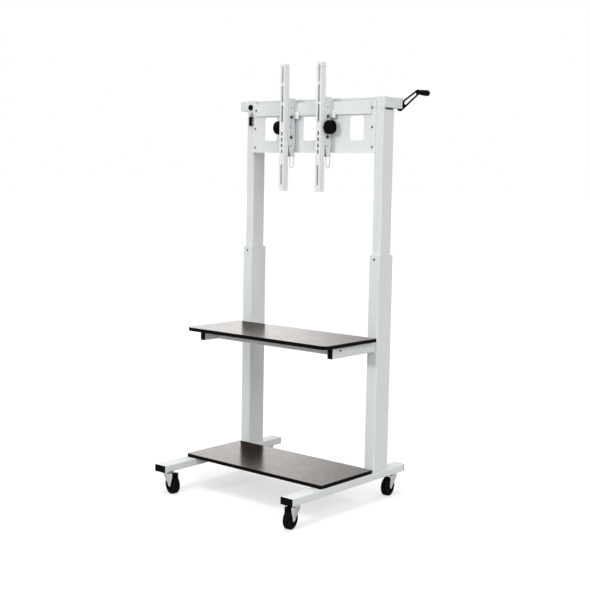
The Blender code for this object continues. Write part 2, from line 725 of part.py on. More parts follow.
def make_upper_column(side, sign):
    x = sign * COLUMN_X
    column = square_tube(
        f"upper_column_{side}",
        (UPPER_WIDTH, UPPER_DEPTH, UPPER_LENGTH),
        (x, 0, (UPPER_BOTTOM + HEAD_BASE) / 2),
        2,
        SHEET,
        COLUMN_CORNER,
        WHITE_PAINT,
        cart,
    )
    slot = block(
        (4 * SHEET, UPPER_DEPTH - 4 * COLUMN_CORNER, COLUMN_SLOT_HEIGHT),
        (x + sign * UPPER_WIDTH / 2, 0, HEAD_BASE - COLUMN_SLOT_HEIGHT / 2 + 0.001),
    )
    cut(column, slot, "side_slot")
    inner = sign * (COLUMN_X - UPPER_WIDTH / 2 - FIT)
    outer = inner - sign * CLEAT_WIDTH
    back = PLATE_BACK + FIT + PLATE_SHEET
    top = HOOK_TOP - HOOK_RAIL_HEIGHT + 0.002
    low = HEAD_BASE - PLATE_BOTTOM + 0.006
    face = span((min(inner, outer), PLATE_BACK + FIT, low), (max(inner, outer), back, top))
    cleat = new_piece(f"head_cleat_{side}", face, WHITE_PAINT, cart)
    inward = inner - sign * PLATE_SHEET
    leg_back = PLATE_BACK + FIT + CLEAT_DEPTH
    leg = span((min(inner, inward), PLATE_BACK + FIT, low), (max(inner, inward), leg_back, top))
    join(cleat, leg, "leg")


def make_housings():
    """Gear housings on the column tops and the tube between them."""
    low = HEAD_BASE + FIT
    high = low + HOUSING_HEIGHT
    length = RIGHT_HOUSING_FRONT + RIGHT_HOUSING_REAR
    right = square_tube(
        "gear_housing_right",
        (HOUSING_WIDTH, length, HOUSING_HEIGHT),
        (COLUMN_X, (RIGHT_HOUSING_REAR - RIGHT_HOUSING_FRONT) / 2, HOUSING_MIDDLE),
        1,
        SHEET,
        COLUMN_CORNER / 2,
        WHITE_PAINT,
        cart,
    )
    screw_hole = SCREW_RADIUS + FIT
    shaft_hole = SHAFT_RADIUS + FIT
    holes = [
        rod(screw_hole, 4 * SHEET, (COLUMN_X, 0, low), sides=16),
        rod(shaft_hole, 4 * SHEET, (COLUMN_X - HOUSING_WIDTH / 2, 0, HOUSING_MIDDLE), "X", 16),
    ]
    cut(right, together(holes), "shaft_holes")

    x = -COLUMN_X
    left = square_tube(
        "gear_housing_left",
        (HOUSING_WIDTH, LEFT_HOUSING_DEPTH, HOUSING_HEIGHT),
        (x, 0, HOUSING_MIDDLE),
        1,
        SHEET,
        COLUMN_CORNER / 2,
        WHITE_PAINT,
        cart,
    )
    wall = (HOUSING_WIDTH - SHEET, SHEET, HOUSING_HEIGHT - SHEET)
    for label, direction in (("front_wall", -1), ("rear_wall", 1)):
        join(left, block(wall, (x, direction * (LEFT_HOUSING_DEPTH - SHEET) / 2, HOUSING_MIDDLE)), label)
    stub_middle = x - HOUSING_WIDTH / 2 - STUB_LENGTH / 2 + SHEET / 4
    size = (STUB_LENGTH + SHEET / 2, HOUSING_HEIGHT, HOUSING_HEIGHT - 0.0002)
    join(left, block(size, (stub_middle, 0, HOUSING_MIDDLE)), "stub")
    holes = [
        rod(screw_hole, 4 * SHEET, (x, 0, low), sides=16),
        rod(shaft_hole, 4 * SHEET, (x + HOUSING_WIDTH / 2, 0, HOUSING_MIDDLE), "X", 16),
        rod(PLUG_RADIUS - 0.003, 4 * SHEET, (x, -LEFT_HOUSING_DEPTH / 2, HOUSING_MIDDLE - 0.006), "Y", 16),
    ]
    cut(left, together(holes), "shaft_holes")

    plug_y = -LEFT_HOUSING_DEPTH / 2
    plug = turned(
        [
            (0, PLUG_DEPTH + FIT),
            (PLUG_RADIUS - 0.002, PLUG_DEPTH + FIT - 0.001),
            (PLUG_RADIUS, FIT + 0.002),
            (PLUG_RADIUS, FIT),
            (PLUG_RADIUS - 0.0035, FIT),
            (PLUG_RADIUS - 0.0035, -0.004),
            (0, -0.004),
        ],
        20,
        "Y",
        (x, plug_y, HOUSING_MIDDLE - 0.006),
    )
    new_piece("housing_plug", plug, BLACK_PLASTIC, cart)

    square_tube(
        "cross_tube",
        (COLUMN_SPACING - HOUSING_WIDTH - 2 * FIT, HOUSING_HEIGHT, HOUSING_HEIGHT),
        (0, 0, HOUSING_MIDDLE),
        0,
        SHEET,
        COLUMN_CORNER / 2,
        WHITE_PAINT,
        cart,
    )
    for label, y, direction in (("front", -RIGHT_HOUSING_FRONT, -1), ("rear", RIGHT_HOUSING_REAR, 1)):
        end = (COLUMN_X, y, HOUSING_MIDDLE)
        size = (HOUSING_WIDTH, HOUSING_HEIGHT)
        cap = end_cap(f"housing_cap_{label}", size, end, direction, SHEET, CAP_FLANGE, CAP_DEPTH, cart)
        cap.data.materials[0] = WHITE_PAINT
        if label == "rear":
            length = COLLAR_LENGTH + CAP_FLANGE
            collar = rod(COLLAR_RADIUS, length, (COLUMN_X, y + length / 2 + FIT, HOUSING_MIDDLE), "Y")
            join(cap, collar, "collar")
            bore = rod(SHAFT_RADIUS + FIT, 0.06, (COLUMN_X, y, HOUSING_MIDDLE), "Y", 16)
            cut(cap, bore, "bearing")


def make_drive():
    """Lead screws, cross shaft and crank, each turning on its own axis."""
    gear_back = GEAR_RADIUS + GEAR_GAP
    nut_top = LOWER_TOP - GLIDE_HEIGHT
    low = nut_top - LIFT_UP - SCREW_ENGAGED
    for side, sign in SIDES:
        centre = empty(f"screw_axis_{side}", (sign * COLUMN_X, 0, 0), cart)
        gear_low = HOUSING_MIDDLE - gear_back
        screw = turned(
            [
                (0, gear_low + GEAR_FACE),
                (GEAR_RADIUS - GEAR_FACE + 0.001, gear_low + GEAR_FACE),
                (GEAR_RADIUS, gear_low),
                (SCREW_RADIUS, gear_low),
                (SCREW_RADIUS, low),
                (0, low),
            ],
            16,
        )
        new_piece(f"lead_screw_{side}", screw, STEEL, centre)
    end = COLUMN_X - gear_back
    small = GEAR_RADIUS - GEAR_FACE + 0.001
    shaft = turned(
        [
            (0, end + GEAR_FACE),
            (small, end + GEAR_FACE),
            (GEAR_RADIUS, end),
            (SHAFT_RADIUS, end),
            (SHAFT_RADIUS, -end),
            (GEAR_RADIUS, -end),
            (small, -end - GEAR_FACE),
            (0, -end - GEAR_FACE),
        ],
        16,
        "X",
    )
    centre = empty("cross_shaft_axis", (0, 0, HOUSING_MIDDLE), cart)
    new_piece("cross_shaft", shaft, STEEL, centre)

    centre = empty("crank_axis", (COLUMN_X, 0, HOUSING_MIDDLE), cart)
    tip = (CRANK_LENGTH * math.cos(CRANK_TURN), CRANK_LENGTH * math.sin(CRANK_TURN))
    heel = Vector((0, -CRANK_HEEL_DROP))
    end = Vector((CRANK_LENGTH, 0))
    slot_start = heel.lerp(end, CRANK_SLOT_START / CRANK_LENGTH)
    slot_end = heel.lerp(end, CRANK_SLOT_END / CRANK_LENGTH)
    outlines = [
        belt_outline(heel, CRANK_HEEL_RADIUS, end, CRANK_TIP_RADIUS),
        belt_outline(slot_start, CRANK_SLOT_WIDE / 2, slot_end, CRANK_SLOT_NARROW / 2, 4),
    ]
    plane = FRONTAL @ Matrix.Rotation(CRANK_TURN, 4, "Z")
    arm = plate(outlines, CRANK_SHEET, plane, (0, CRANK_Y + CRANK_SHEET / 2, 0))
    crank = new_piece("crank_arm", arm, BLACK_PLASTIC, centre)
    hub_length = CRANK_SHEET + CRANK_STANDOFF - FIT
    hub = rod(CRANK_HUB_RADIUS, hub_length, (0, CRANK_Y + CRANK_SHEET - hub_length / 2, 0), "Y")
    join(crank, hub, "hub")
    pin_end = GRIP_END - 0.002
    pin_start = CRANK_Y + CRANK_SHEET / 2
    pin = rod(GRIP_PIN_RADIUS, pin_end - pin_start, (tip[0], (pin_start + pin_end) / 2, tip[1]), "Y", 16)
    join(crank, pin, "grip_pin")
    start = gear_back - GEAR_FACE
    shaft_length = CRANK_Y + CRANK_SHEET / 2 - start - GEAR_FACE / 2
    shaft = rod(SHAFT_RADIUS, shaft_length, (0, CRANK_Y + CRANK_SHEET / 2 - shaft_length / 2, 0), "Y", 16)
    join(crank, shaft, "shaft")
    gear = turned(
        [(0, -start), (small, -start), (GEAR_RADIUS, -start - GEAR_FACE), (0, -start - GEAR_FACE)], 16, "Y"
    )
    join(crank, gear, "gear")

    turn = empty("grip_axis", (tip[0], 0, tip[1]), centre)
    grip_start = CRANK_Y + CRANK_SHEET + FIT
    bore = GRIP_PIN_RADIUS + FIT
    profile = [
        (bore, -grip_start),
        (GRIP_RADIUS - 0.002, -grip_start),
        (GRIP_RADIUS, -grip_start - 0.003),
        (GRIP_RADIUS, -GRIP_END + 0.005),
        (GRIP_RADIUS - 0.003, -GRIP_END),
        (bore, -GRIP_END),
    ]
    new_piece("crank_grip", turned(profile, 20, "Y", bore=True), BLACK_PLASTIC, turn)


def make_head_plate():
    """A folded sheet between the columns: a web with windows and a forward rail for the hooks."""
    half = COLUMN_X - UPPER_WIDTH / 2 + PLATE_LAP
    tab = half - PLATE_TAB
    end = COLUMN_X - UPPER_WIDTH / 2 - HOOK_RAIL_CLEAR
    low = HEAD_BASE - PLATE_BOTTOM
    jog = HOOK_TOP - HOOK_RAIL_HEIGHT
    quarter = [(half, low), (half, HOOK_TOP), (tab, HOOK_TOP), (tab, jog + PLATE_SHEET)]
    outline = quarter + [(-x, z) for x, z in reversed(quarter)]
    window_middle = jog - WINDOW_DROP - WINDOW_HEIGHT / 2
    windows = [
        rounded_outline(WINDOW_WIDTH, WINDOW_HEIGHT, WINDOW_CORNER, (x, window_middle)) for x in WINDOW_PLACES
    ]
    web = plate([outline, *windows], PLATE_SHEET, FRONTAL, (0, PLATE_BACK - PLATE_SHEET / 2, 0))
    sheet = new_piece("head_plate", web, WHITE_PAINT, cart)
    rail = span((-end, HOOK_FACE, jog), (end, HOOK_FACE + PLATE_SHEET, HOOK_TOP))
    shelf = span((-end, HOOK_FACE, jog), (end, PLATE_BACK, jog + PLATE_SHEET))
    lip = span((-half, PLATE_FRONT - PLATE_LIP, low), (half, PLATE_BACK, low + PLATE_SHEET))
    join(sheet, shelf, "step")
    join(sheet, rail, "hook_rail")
    for side, sign in SIDES:
        x = sign * (end - PLATE_SHEET / 2)
        fold = span((x - PLATE_SHEET / 2, HOOK_FACE, jog), (x + PLATE_SHEET / 2, PLATE_BACK, HOOK_TOP))
        join(sheet, fold, f"{side}_return")
    join(sheet, lip, "bottom_lip")


def make_bracket(side, sign):
    """A tilt bracket hooked over the head plate, with its screen rail, lock knob and release pull."""
    x = RAIL_PLACES[side]
    slide = empty(f"bracket_{side}", (x, 0, 0), cart)
    outside = RAIL_WIDTH / 2 + FIT + BRACKET_SHEET
    back = HOOK_FACE - BRACKET_BACK
    top = PIVOT_Z + BRACKET_TOP
    low = PIVOT_Z - BRACKET_BOTTOM
    web_front = back - BRACKET_SHEET
    web = span((-outside, web_front, low + LATCH_HEIGHT + 0.002), (outside, back, top))
    bracket = new_piece(f"tilt_bracket_{side}", web, WHITE_PAINT, slide)
    reach = PIVOT_Y - CHEEK_REACH
    taper_low = reach + (BRACKET_BOTTOM - 0.010) * math.sin(math.radians(TILT_FORWARD)) - 0.003
    taper_top = reach + BRACKET_TOP * math.sin(math.radians(TILT_BACK))
    step = HOOK_TOP - HOOK_RAIL_HEIGHT - 0.004
    lip_top = HEAD_BASE - PLATE_BOTTOM + 0.010
    hook_low = HOOK_TOP + FIT
    hook_back = HOOK_FACE + PLATE_SHEET + 0.001
    latch_y = PLATE_FRONT - PULL_FORWARD
    latch_top = low + LATCH_HEIGHT
    cheek = [
        (latch_y + LATCH_DEPTH / 2, low),
        (latch_y + LATCH_DEPTH / 2, latch_top),
        (PLATE_FRONT - PLATE_LIP - 0.002, latch_top),
        (PLATE_FRONT - PLATE_LIP - 0.002, lip_top),
        (PLATE_FRONT - 0.003, lip_top + 0.008),
        (PLATE_FRONT - 0.003, step),
        (back, step),
        (back, hook_low),
        (hook_back + BRACKET_SHEET, hook_low),
        (hook_back + BRACKET_SHEET, top),
        (taper_top, top),
        (reach, PIVOT_Z + 0.016),
        (reach, PIVOT_Z - 0.010),
        (taper_low, low),
    ]
    hole = arc((PIVOT_Y, PIVOT_Z), KNOB_STUD_RADIUS + FIT, 0, 330, 11)
    for s in (-1, 1):
        mesh = plate([cheek, hole], BRACKET_SHEET, SIDEWAYS, (s * (outside - BRACKET_SHEET / 2), 0, 0))
        join(bracket, mesh, "cheek_left" if s < 0 else "cheek_right")
    hook_corner = (outside, hook_back + BRACKET_SHEET, hook_low + BRACKET_SHEET)
    over = span((-outside, web_front, hook_low), hook_corner)
    lip = span((-outside, hook_back, HOOK_TOP - HOOK_DROP), hook_corner)
    join(bracket, over, "hook")
    join(bracket, lip, "hook_lip")

    tilt = empty(f"tilt_{side}", (0, PIVOT_Y, PIVOT_Z), slide)
    front = -RAIL_STANDOFF
    rail_top = RAIL_LENGTH - RAIL_BELOW_PIVOT
    outer = span((-RAIL_WIDTH / 2, front, -RAIL_BELOW_PIVOT), (RAIL_WIDTH / 2, front + RAIL_DEPTH, rail_top))
    rail = new_piece(f"screen_rail_{side}", outer, WHITE_PAINT, tilt)
    room = RAIL_WIDTH / 2 - RAIL_SHEET
    hollow = span((-room, front + RAIL_SHEET, -RAIL_LENGTH), (room, front + 2 * RAIL_DEPTH, RAIL_LENGTH))
    cut(rail, hollow, "channel")
    ear = slot_outline(0.060, 0.026, (-0.003, 0), 90)
    hole = arc((0, 0), KNOB_STUD_RADIUS + FIT, 0, 330, 11)
    for s in (-1, 1):
        place = (s * (RAIL_WIDTH - RAIL_SHEET) / 2, 0, 0)
        join(rail, plate([ear], RAIL_SHEET, SIDEWAYS, place), "ear_left" if s < 0 else "ear_right")
    cut(rail, rod(KNOB_STUD_RADIUS + FIT, 2 * RAIL_WIDTH, (0, 0, 0), "X", 12), "stud_hole")
    heights = [
        (rail_top - LONG_SLOT_MARGIN - LONG_SLOT_LENGTH / 2 - k * LONG_SLOT_PITCH, LONG_SLOT_LENGTH)
        for k in range(LONG_SLOTS)
    ]
    heights += [
        (-SHORT_SLOT_DROP - SHORT_SLOT_LENGTH / 2 - k * SHORT_SLOT_PITCH, SHORT_SLOT_LENGTH)
        for k in range(SHORT_SLOTS)
    ]
    heights.append((-LOW_SLOT_DROP - LOW_SLOT_LENGTH / 2, LOW_SLOT_LENGTH))
    slots = [
        plate([slot_outline(long, RAIL_SLOT_WIDTH, (0, z), 90)], 4 * RAIL_SHEET, FRONTAL, (0, front, 0))
        for z, long in heights
    ]
    cut(rail, together(slots), "slots")

    knob_turn = empty(f"knob_{side}", (0, PIVOT_Y, PIVOT_Z), slide)
    base = outside + FIT
    stud_end = -(outside + 0.002)
    head = base + KNOB_NECKS[side]
    profile = [
        (0, head + KNOB_THICKNESS),
        (KNOB_RADIUS - 0.006, head + KNOB_THICKNESS),
        (KNOB_RADIUS, head + KNOB_THICKNESS - 0.005),
        (KNOB_RADIUS, head + 0.008),
        (0.012, head + 0.004),
        (0.010, base),
        (KNOB_STUD_RADIUS, base),
        (KNOB_STUD_RADIUS, stud_end),
        (0, stud_end),
    ]
    knob = turned(profile, 24, "X")
    if sign < 0:
        knob.transform(Matrix.Rotation(math.pi, 4, "Z"))
    new_piece(f"tilt_knob_{side}", knob, BLACK_PLASTIC, knob_turn)

    pull = empty(f"pull_{side}", (0, latch_y, low), slide)
    half = PULL_WIDTH / 2
    bend = arc((0, half - PULL_DROP), half, 180, 360, 8)
    points = [(-half, 0, PULL_RISE)] + [(a, 0, b) for a, b in bend] + [(half, 0, PULL_RISE)]
    loop = new_piece(f"release_pull_{side}", wire(points, PULL_WIRE_RADIUS), STEEL, pull)
    width = 2 * (outside - BRACKET_SHEET - FIT)
    join(loop, block((width, LATCH_DEPTH, LATCH_HEIGHT), (0, 0, LATCH_HEIGHT / 2)), "latch")


def make_padlock():
    """A small padlock that hangs from an eye on the front of the left column."""
    x = LOCK_SHIFT - COLUMN_X
    eye_z = HEAD_BASE - LOCK_EYE_DROP
    foot_y = UPPER_FRONT - FIT
    hole_y = foot_y - EYE_REACH + EYE_WIDTH / 2
    outline = [(foot_y, eye_z - EYE_WIDTH / 2), (foot_y, eye_z + EYE_WIDTH / 2)]
    outline += arc((hole_y, eye_z), EYE_WIDTH / 2, 90, 270, 6)
    hole = arc((hole_y, eye_z), SHACKLE_RADIUS + 0.001, 0, 330, 11)
    new_piece("lock_eye", plate([outline, hole], EYE_SHEET, SIDEWAYS, (x, 0, 0)), ZINC, cart)

    swing = empty("padlock_swing", (x, hole_y, eye_z), cart)
    bend = arc((0, -SHACKLE_SPREAD), SHACKLE_SPREAD, 0, 180, 10)
    seat = -SHACKLE_SPREAD - SHACKLE_HEIGHT
    points = [(SHACKLE_SPREAD, 0, seat)] + [(a, 0, b) for a, b in bend] + [(-SHACKLE_SPREAD, 0, seat)]
    new_piece("padlock_shackle", wire(points, SHACKLE_RADIUS), STEEL, swing)
    body_top = seat + 0.004
    body = rounded_block(
        (LOCK_WIDTH, LOCK_DEPTH, LOCK_HEIGHT), (0, 0, body_top - LOCK_HEIGHT / 2), 2, 0.0025
    )
    lock = new_piece("padlock_body", body, BLACK_PLASTIC, swing)
    holes = [
        rod(SHACKLE_RADIUS + FIT, 0.0086, (s * SHACKLE_SPREAD, 0, body_top), sides=12) for s in (-1, 1)
    ]
    cut(lock, together(holes), "shackle_holes")


for side_name, side_sign in SIDES:
    make_foot(side_name, side_sign)
    make_lower_column(side_name, side_sign)
    make_upper_column(side_name, side_sign)
    make_bracket(side_name, side_sign)
for caster in CASTERS:
    make_caster(*caster)
make_shelves()
make_housings()
make_drive()
make_head_plate()
make_padlock()

print("pieces:", len([o for o in cart_pieces.objects if o.type == "MESH"]))
print("cart moved by", tuple(round(v, 5) for v in cart.location))
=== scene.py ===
import json
import math

import bmesh
import bpy
from mathutils import Matrix, Vector


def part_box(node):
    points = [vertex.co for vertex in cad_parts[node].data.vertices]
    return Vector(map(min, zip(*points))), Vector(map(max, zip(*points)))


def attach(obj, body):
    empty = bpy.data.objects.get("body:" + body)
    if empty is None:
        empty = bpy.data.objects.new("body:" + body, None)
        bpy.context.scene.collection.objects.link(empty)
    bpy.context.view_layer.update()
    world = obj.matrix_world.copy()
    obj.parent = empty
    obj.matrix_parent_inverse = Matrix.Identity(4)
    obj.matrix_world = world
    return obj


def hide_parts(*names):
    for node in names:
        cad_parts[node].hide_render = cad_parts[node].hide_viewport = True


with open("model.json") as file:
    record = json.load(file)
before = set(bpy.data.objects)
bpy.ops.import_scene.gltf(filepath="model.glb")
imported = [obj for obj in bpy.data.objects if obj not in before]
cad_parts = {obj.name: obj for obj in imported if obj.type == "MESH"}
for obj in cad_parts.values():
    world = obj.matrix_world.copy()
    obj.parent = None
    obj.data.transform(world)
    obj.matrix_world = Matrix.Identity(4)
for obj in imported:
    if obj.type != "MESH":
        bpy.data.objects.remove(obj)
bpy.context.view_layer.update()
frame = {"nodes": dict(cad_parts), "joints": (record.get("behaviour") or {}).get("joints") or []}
nodes = frame["nodes"]
joints = {joint["name"]: joint for joint in frame["joints"]}
print("frame loaded:", len(nodes), "nodes")

# The floor point midway between the columns is where the camera was measured from
leftLow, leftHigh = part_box("lower_column_left")
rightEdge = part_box("lower_column_right")[1].x
midPoint = Vector(((leftLow.x + rightEdge) / 2, (leftLow.y + leftHigh.y) / 2, 0))
sideNames = ("left", "right")
casterNames = ("front_left", "front_right", "rear_left", "rear_right")


# Shader maths on sockets
class Wire:
    def __init__(self, socket, tree):
        self.socket = socket
        self.tree = tree

    def maths(self, operation, other, swap=False):
        terms = {0: other, 1: self} if swap else {0: self, 1: other}
        return self.tree.node("ShaderNodeMath", {"operation": operation}, terms)

    def __add__(self, other):
        return self.maths("ADD", other)

    def __radd__(self, other):
        return self.maths("ADD", other)

    def __sub__(self, other):
        return self.maths("SUBTRACT", other)

    def __rsub__(self, other):
        return self.maths("SUBTRACT", other, swap=True)

    def __mul__(self, other):
        return self.maths("MULTIPLY", other)

    def __rmul__(self, other):
        return self.maths("MULTIPLY", other)

    def atLeast(self, other):
        return self.maths("MAXIMUM", other)

    def step(self, edge, softness):
        span = {0: self, 1: edge - softness, 2: edge + softness, 3: 0.0, 4: 1.0}
        return self.tree.node("ShaderNodeMapRange", {"interpolation_type": "SMOOTHSTEP"}, span)


class Tree:
    def __init__(self, owner):
        owner.use_nodes = True
        self.links = owner.node_tree.links
        self.all = owner.node_tree.nodes
        self.shader = self.all.get("Principled BSDF")

    def node(self, kind, settings=None, inputs=None, output=0):
        made = self.all.new(kind)
        for key, value in (settings or {}).items():
            if key == "stops":
                ramp = made.color_ramp
                while len(ramp.elements) < len(value):
                    ramp.elements.new(0.5)
                for element, (position, shade) in zip(ramp.elements, value):
                    element.position = position
                    element.color = shade
            else:
                setattr(made, key, value)
        for key, value in (inputs or {}).items():
            self.feed(made.inputs[key], value)
        return Wire(made.outputs[output], self)

    def feed(self, socket, value):
        if isinstance(value, Wire):
            self.links.new(value.socket, socket)
        else:
            socket.default_value = value

    def place(self):
        return self.node("ShaderNodeTexCoord", output="Object")

    def stretch(self, scale):
        return self.node("ShaderNodeMapping", {}, {"Vector": self.place(), "Scale": scale})

    def noise(self, scale, detail, roughness=0.5, vector=None):
        vector = vector or self.place()
        inputs = {"Vector": vector, "Scale": scale, "Detail": detail, "Roughness": roughness}
        return self.node("ShaderNodeTexNoise", {}, inputs)

    def blendColour(self, factor, first, second):
        inputs = {0: factor, 6: first, 7: second}
        return self.node("ShaderNodeMix", {"data_type": "RGBA"}, inputs, 2)

    def bump(self, height, strength, distance):
        inputs = {"Height": height, "Strength": strength, "Distance": distance}
        return self.node("ShaderNodeBump", {}, inputs)

    def set(self, **values):
        for key, value in values.items():
            self.feed(self.shader.inputs[key.replace("_", " ")], value)


def colour(red, green, blue):
    return (red, green, blue, 1)


def grey(value):
    return colour(value, value, value)


looks = {}


def newLook(name):
    material = bpy.data.materials.new(name)
    looks[name] = material
    return Tree(material)


# White powder coat: faint orange peel, slightly cool; the plate and the rails are a little paler
coats = {
    "powderCoat": (colour(0.690, 0.712, 0.716), colour(0.672, 0.694, 0.698)),
    "powderCoatPlate": (colour(0.715, 0.738, 0.744), colour(0.700, 0.722, 0.728)),
    "powderCoatRail": (colour(0.750, 0.770, 0.776), colour(0.735, 0.755, 0.762)),
}


def makePowderCoat(name, tint, shade):
    tree = newLook(name)
    cloud = tree.noise(7, 2)
    speck = tree.noise(900, 1)
    peel = tree.noise(420, 2, 0.4)
    tone = tree.blendColour(cloud.step(0.5, 0.2), tint, shade)
    tree.set(
        Base_Color=tree.blendColour(speck.step(0.72, 0.05) * 0.10, tone, colour(0.50, 0.52, 0.53)),
        Roughness=0.40 + 0.08 * tree.noise(40, 2),
        Normal=tree.bump(peel + 0.3 * tree.noise(1600, 1), 0.10, 0.0004),
    )


for name, tones in coats.items():
    makePowderCoat(name, *tones)

# Near-black board with a half-gloss top that smudges dull in places
laminate = {
    "board": (colour(0.030, 0.021, 0.016), colour(0.044, 0.032, 0.026)),
    "pore": colour(0.014, 0.011, 0.010), "roughness": 0.22, "shine": 1.9,
    "coat": 0.80, "smudge": 0.20, "coatShine": 1.7, "coatTint": colour(1.0, 0.95, 0.91),
    "coatRoughness": 0.20,
}


def makeLaminate():
    tree = newLook("laminate")
    grain = tree.noise(1.0, 4, 0.6, tree.stretch((9, 260, 260)))
    pores = tree.noise(1.0, 2, 0.5, tree.stretch((90, 1400, 1400)))
    pebble = tree.noise(230, 3, 0.65)
    smudge = tree.noise(1.0, 5, 0.7, tree.stretch((26, 60, 60)))
    board = tree.blendColour(grain.step(0.52, 0.25), *laminate["board"])
    tree.set(
        Base_Color=tree.blendColour(pores.step(0.66, 0.04) * 0.35, board, laminate["pore"]),
        Roughness=laminate["roughness"] + 0.06 * grain,
        IOR=laminate["shine"],
        Coat_Weight=laminate["coat"] + laminate["smudge"] * smudge.step(0.5, 0.12),
        Coat_IOR=laminate["coatShine"],
        Coat_Tint=laminate["coatTint"],
        Coat_Roughness=laminate["coatRoughness"],
        Normal=tree.bump(pores * 0.3 + grain * 0.3 + pebble, 0.12, 0.0006),
    )


makeLaminate()

# Mouldings: a fine spark texture, more or less glossy
mouldings = {  # colour, roughness, how fine the texture is, shine
    "blackPlastic": ((0.0022, 0.0020, 0.0022), 0.45, 1500, 0.05),
    "edgeBand": ((0.0030, 0.0022, 0.0020), 0.50, 900, 0.05),
    "blackGrip": ((0.0014, 0.0014, 0.0014), 0.55, 2200, 0.04),
    "wheelCore": ((0.0022, 0.0020, 0.0020), 0.42, 1200, 0.08),
    "whitePlastic": ((0.62, 0.64, 0.62), 0.35, 1200, 0.5),
    "clipPlastic": ((0.72, 0.74, 0.735), 0.35, 1200, 0.5),
    # also the painted shade of the bracket slits, as well as the brackets' dark tabs
    "greyPlastic": ((0.05, 0.05, 0.05), 0.45, 1200, 0.3),
    "dialPlastic": ((0.42, 0.42, 0.41), 0.40, 1200, 0.3),
}
wear = 1.6  # how much paler the worn places of a moulding are


def makeMoulding(name, base, roughness, texture, shine):
    tree = newLook(name)
    spark = tree.noise(texture, 2, 0.6)
    dust = tree.noise(60, 3)
    worn = colour(*[part * wear for part in base])
    tree.set(
        Base_Color=tree.blendColour(dust.step(0.6, 0.2) * 0.4, colour(*base), worn),
        Roughness=roughness + 0.08 * dust,
        Specular_IOR_Level=shine,
        Normal=tree.bump(spark, 0.12, 0.0003),
    )


for name, recipe in mouldings.items():
    makeMoulding(name, *recipe)

# Tyre: matt rubber with paler scuffs
tyreTones = (colour(0.0028, 0.0026, 0.0026), colour(0.008, 0.0075, 0.007))


def makeTyre():
    tree = newLook("tyreRubber")
    scuff = tree.noise(140, 4, 0.65)
    tree.set(
        Base_Color=tree.blendColour(scuff.step(0.62, 0.12) * 0.5, *tyreTones),
        Roughness=0.62 + 0.12 * scuff,
        Specular_IOR_Level=0.06,
        Normal=tree.bump(scuff, 0.18, 0.0004),
    )


makeTyre()

# Bare metals: soft blotches and fine drawing marks, slightly green where they are zinc plated
metals = {  # bright and dull colour, roughness
    "zincPlate": (colour(0.76, 0.80, 0.75), colour(0.62, 0.66, 0.61), 0.38),
    "screwZinc": (colour(0.36, 0.40, 0.39), colour(0.27, 0.31, 0.30), 0.40),
    "darkZinc": (colour(0.09, 0.10, 0.10), colour(0.05, 0.06, 0.06), 0.42),
    "plainSteel": (colour(0.42, 0.42, 0.42), colour(0.30, 0.30, 0.30), 0.34),
}


def makeMetal(name, bright, dull, roughness):
    tree = newLook(name)
    blotch = tree.noise(55, 3, 0.6)
    drawn = tree.noise(1.0, 2, 0.5, tree.stretch((900, 900, 70)))
    tree.set(
        Base_Color=tree.blendColour(blotch.step(0.55, 0.2), bright, dull),
        Metallic=0.9,
        Roughness=roughness + 0.12 * blotch,
        Normal=tree.bump(drawn, 0.06, 0.0002),
    )


for name, recipe in metals.items():
    makeMetal(name, *recipe)
print("looks made:", len(looks))

# Mesh helpers
creaseAngle = 35  # folds sharper than this, in degrees, keep a hard edge


def softenEdges(bm, edges, radius, segments):
    bmesh.ops.bevel(
        bm, geom=edges, offset=radius, segments=segments, profile=0.5, affect="EDGES", material=-1
    )


def roundedBox(size, centre, radius, segments=3):
    bm = bmesh.new()
    block = Matrix.Translation(centre) @ Matrix.Diagonal((*size, 1))
    bmesh.ops.create_cube(bm, size=1, matrix=block)
    softenEdges(bm, bm.edges[:], radius, segments)
    return bm


def lathe(profile, steps):
    # A profile of radii and heights, spun round Z
    bm = bmesh.new()
    points = [bm.verts.new((r, 0, z)) for r, z in profile]
    line = points + [bm.edges.new(pair) for pair in zip(points, points[1:])]
    bmesh.ops.spin(
        bm, geom=line, cent=(0, 0, 0), axis=(0, 0, 1), angle=math.tau, steps=steps, use_merge=True
    )
    bmesh.ops.remove_doubles(bm, verts=bm.verts, dist=1e-6)
    bmesh.ops.recalc_face_normals(bm, faces=bm.faces)
    return bm


def aimed(bm, direction, centre):
    turn = Vector(direction).to_track_quat("Z", "X").to_matrix().to_4x4()
    bmesh.ops.transform(bm, matrix=Matrix.Translation(centre) @ turn, verts=bm.verts)
    return bm


def flatSheet(points, thickness, radius):
    # An outline in X and Y, drawn up by its thickness, with its long edges softened
    bm = bmesh.new()
    face = bm.faces.new([bm.verts.new((x, y, 0)) for x, y in points])
    drawn = bmesh.ops.extrude_face_region(bm, geom=[face])
    tops = [v for v in drawn["geom"] if isinstance(v, bmesh.types.BMVert)]
    bmesh.ops.translate(bm, vec=(0, 0, thickness), verts=tops)
    bmesh.ops.recalc_face_normals(bm, faces=bm.faces)
    rims = [e for e in bm.edges if abs(e.verts[0].co.z - e.verts[1].co.z) < thickness / 2]
    softenEdges(bm, rims, radius, 2)
    return bm


def meshOf(name, bm):
    mesh = bpy.data.meshes.new(name)
    bm.to_mesh(mesh)
    bm.free()
    return mesh


def linked(name, data):
    made = bpy.data.objects.new(name, data)
    bpy.context.scene.collection.objects.link(made)
    return made


def stack(*shapes):
    whole = bmesh.new()
    for shape in shapes:
        part = meshOf("part", shape)
        whole.from_mesh(part)
        bpy.data.meshes.remove(part)
    return whole


def addPiece(name, bm, body, look, replaced=None):
    mesh = meshOf(name, bm)
    mesh.shade_smooth()
    mesh.set_sharp_from_angle(angle=math.radians(creaseAngle))
    mesh.materials.append(looks[look])
    piece = linked(name, mesh)
    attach(piece, body)
    if replaced:
        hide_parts(replaced)


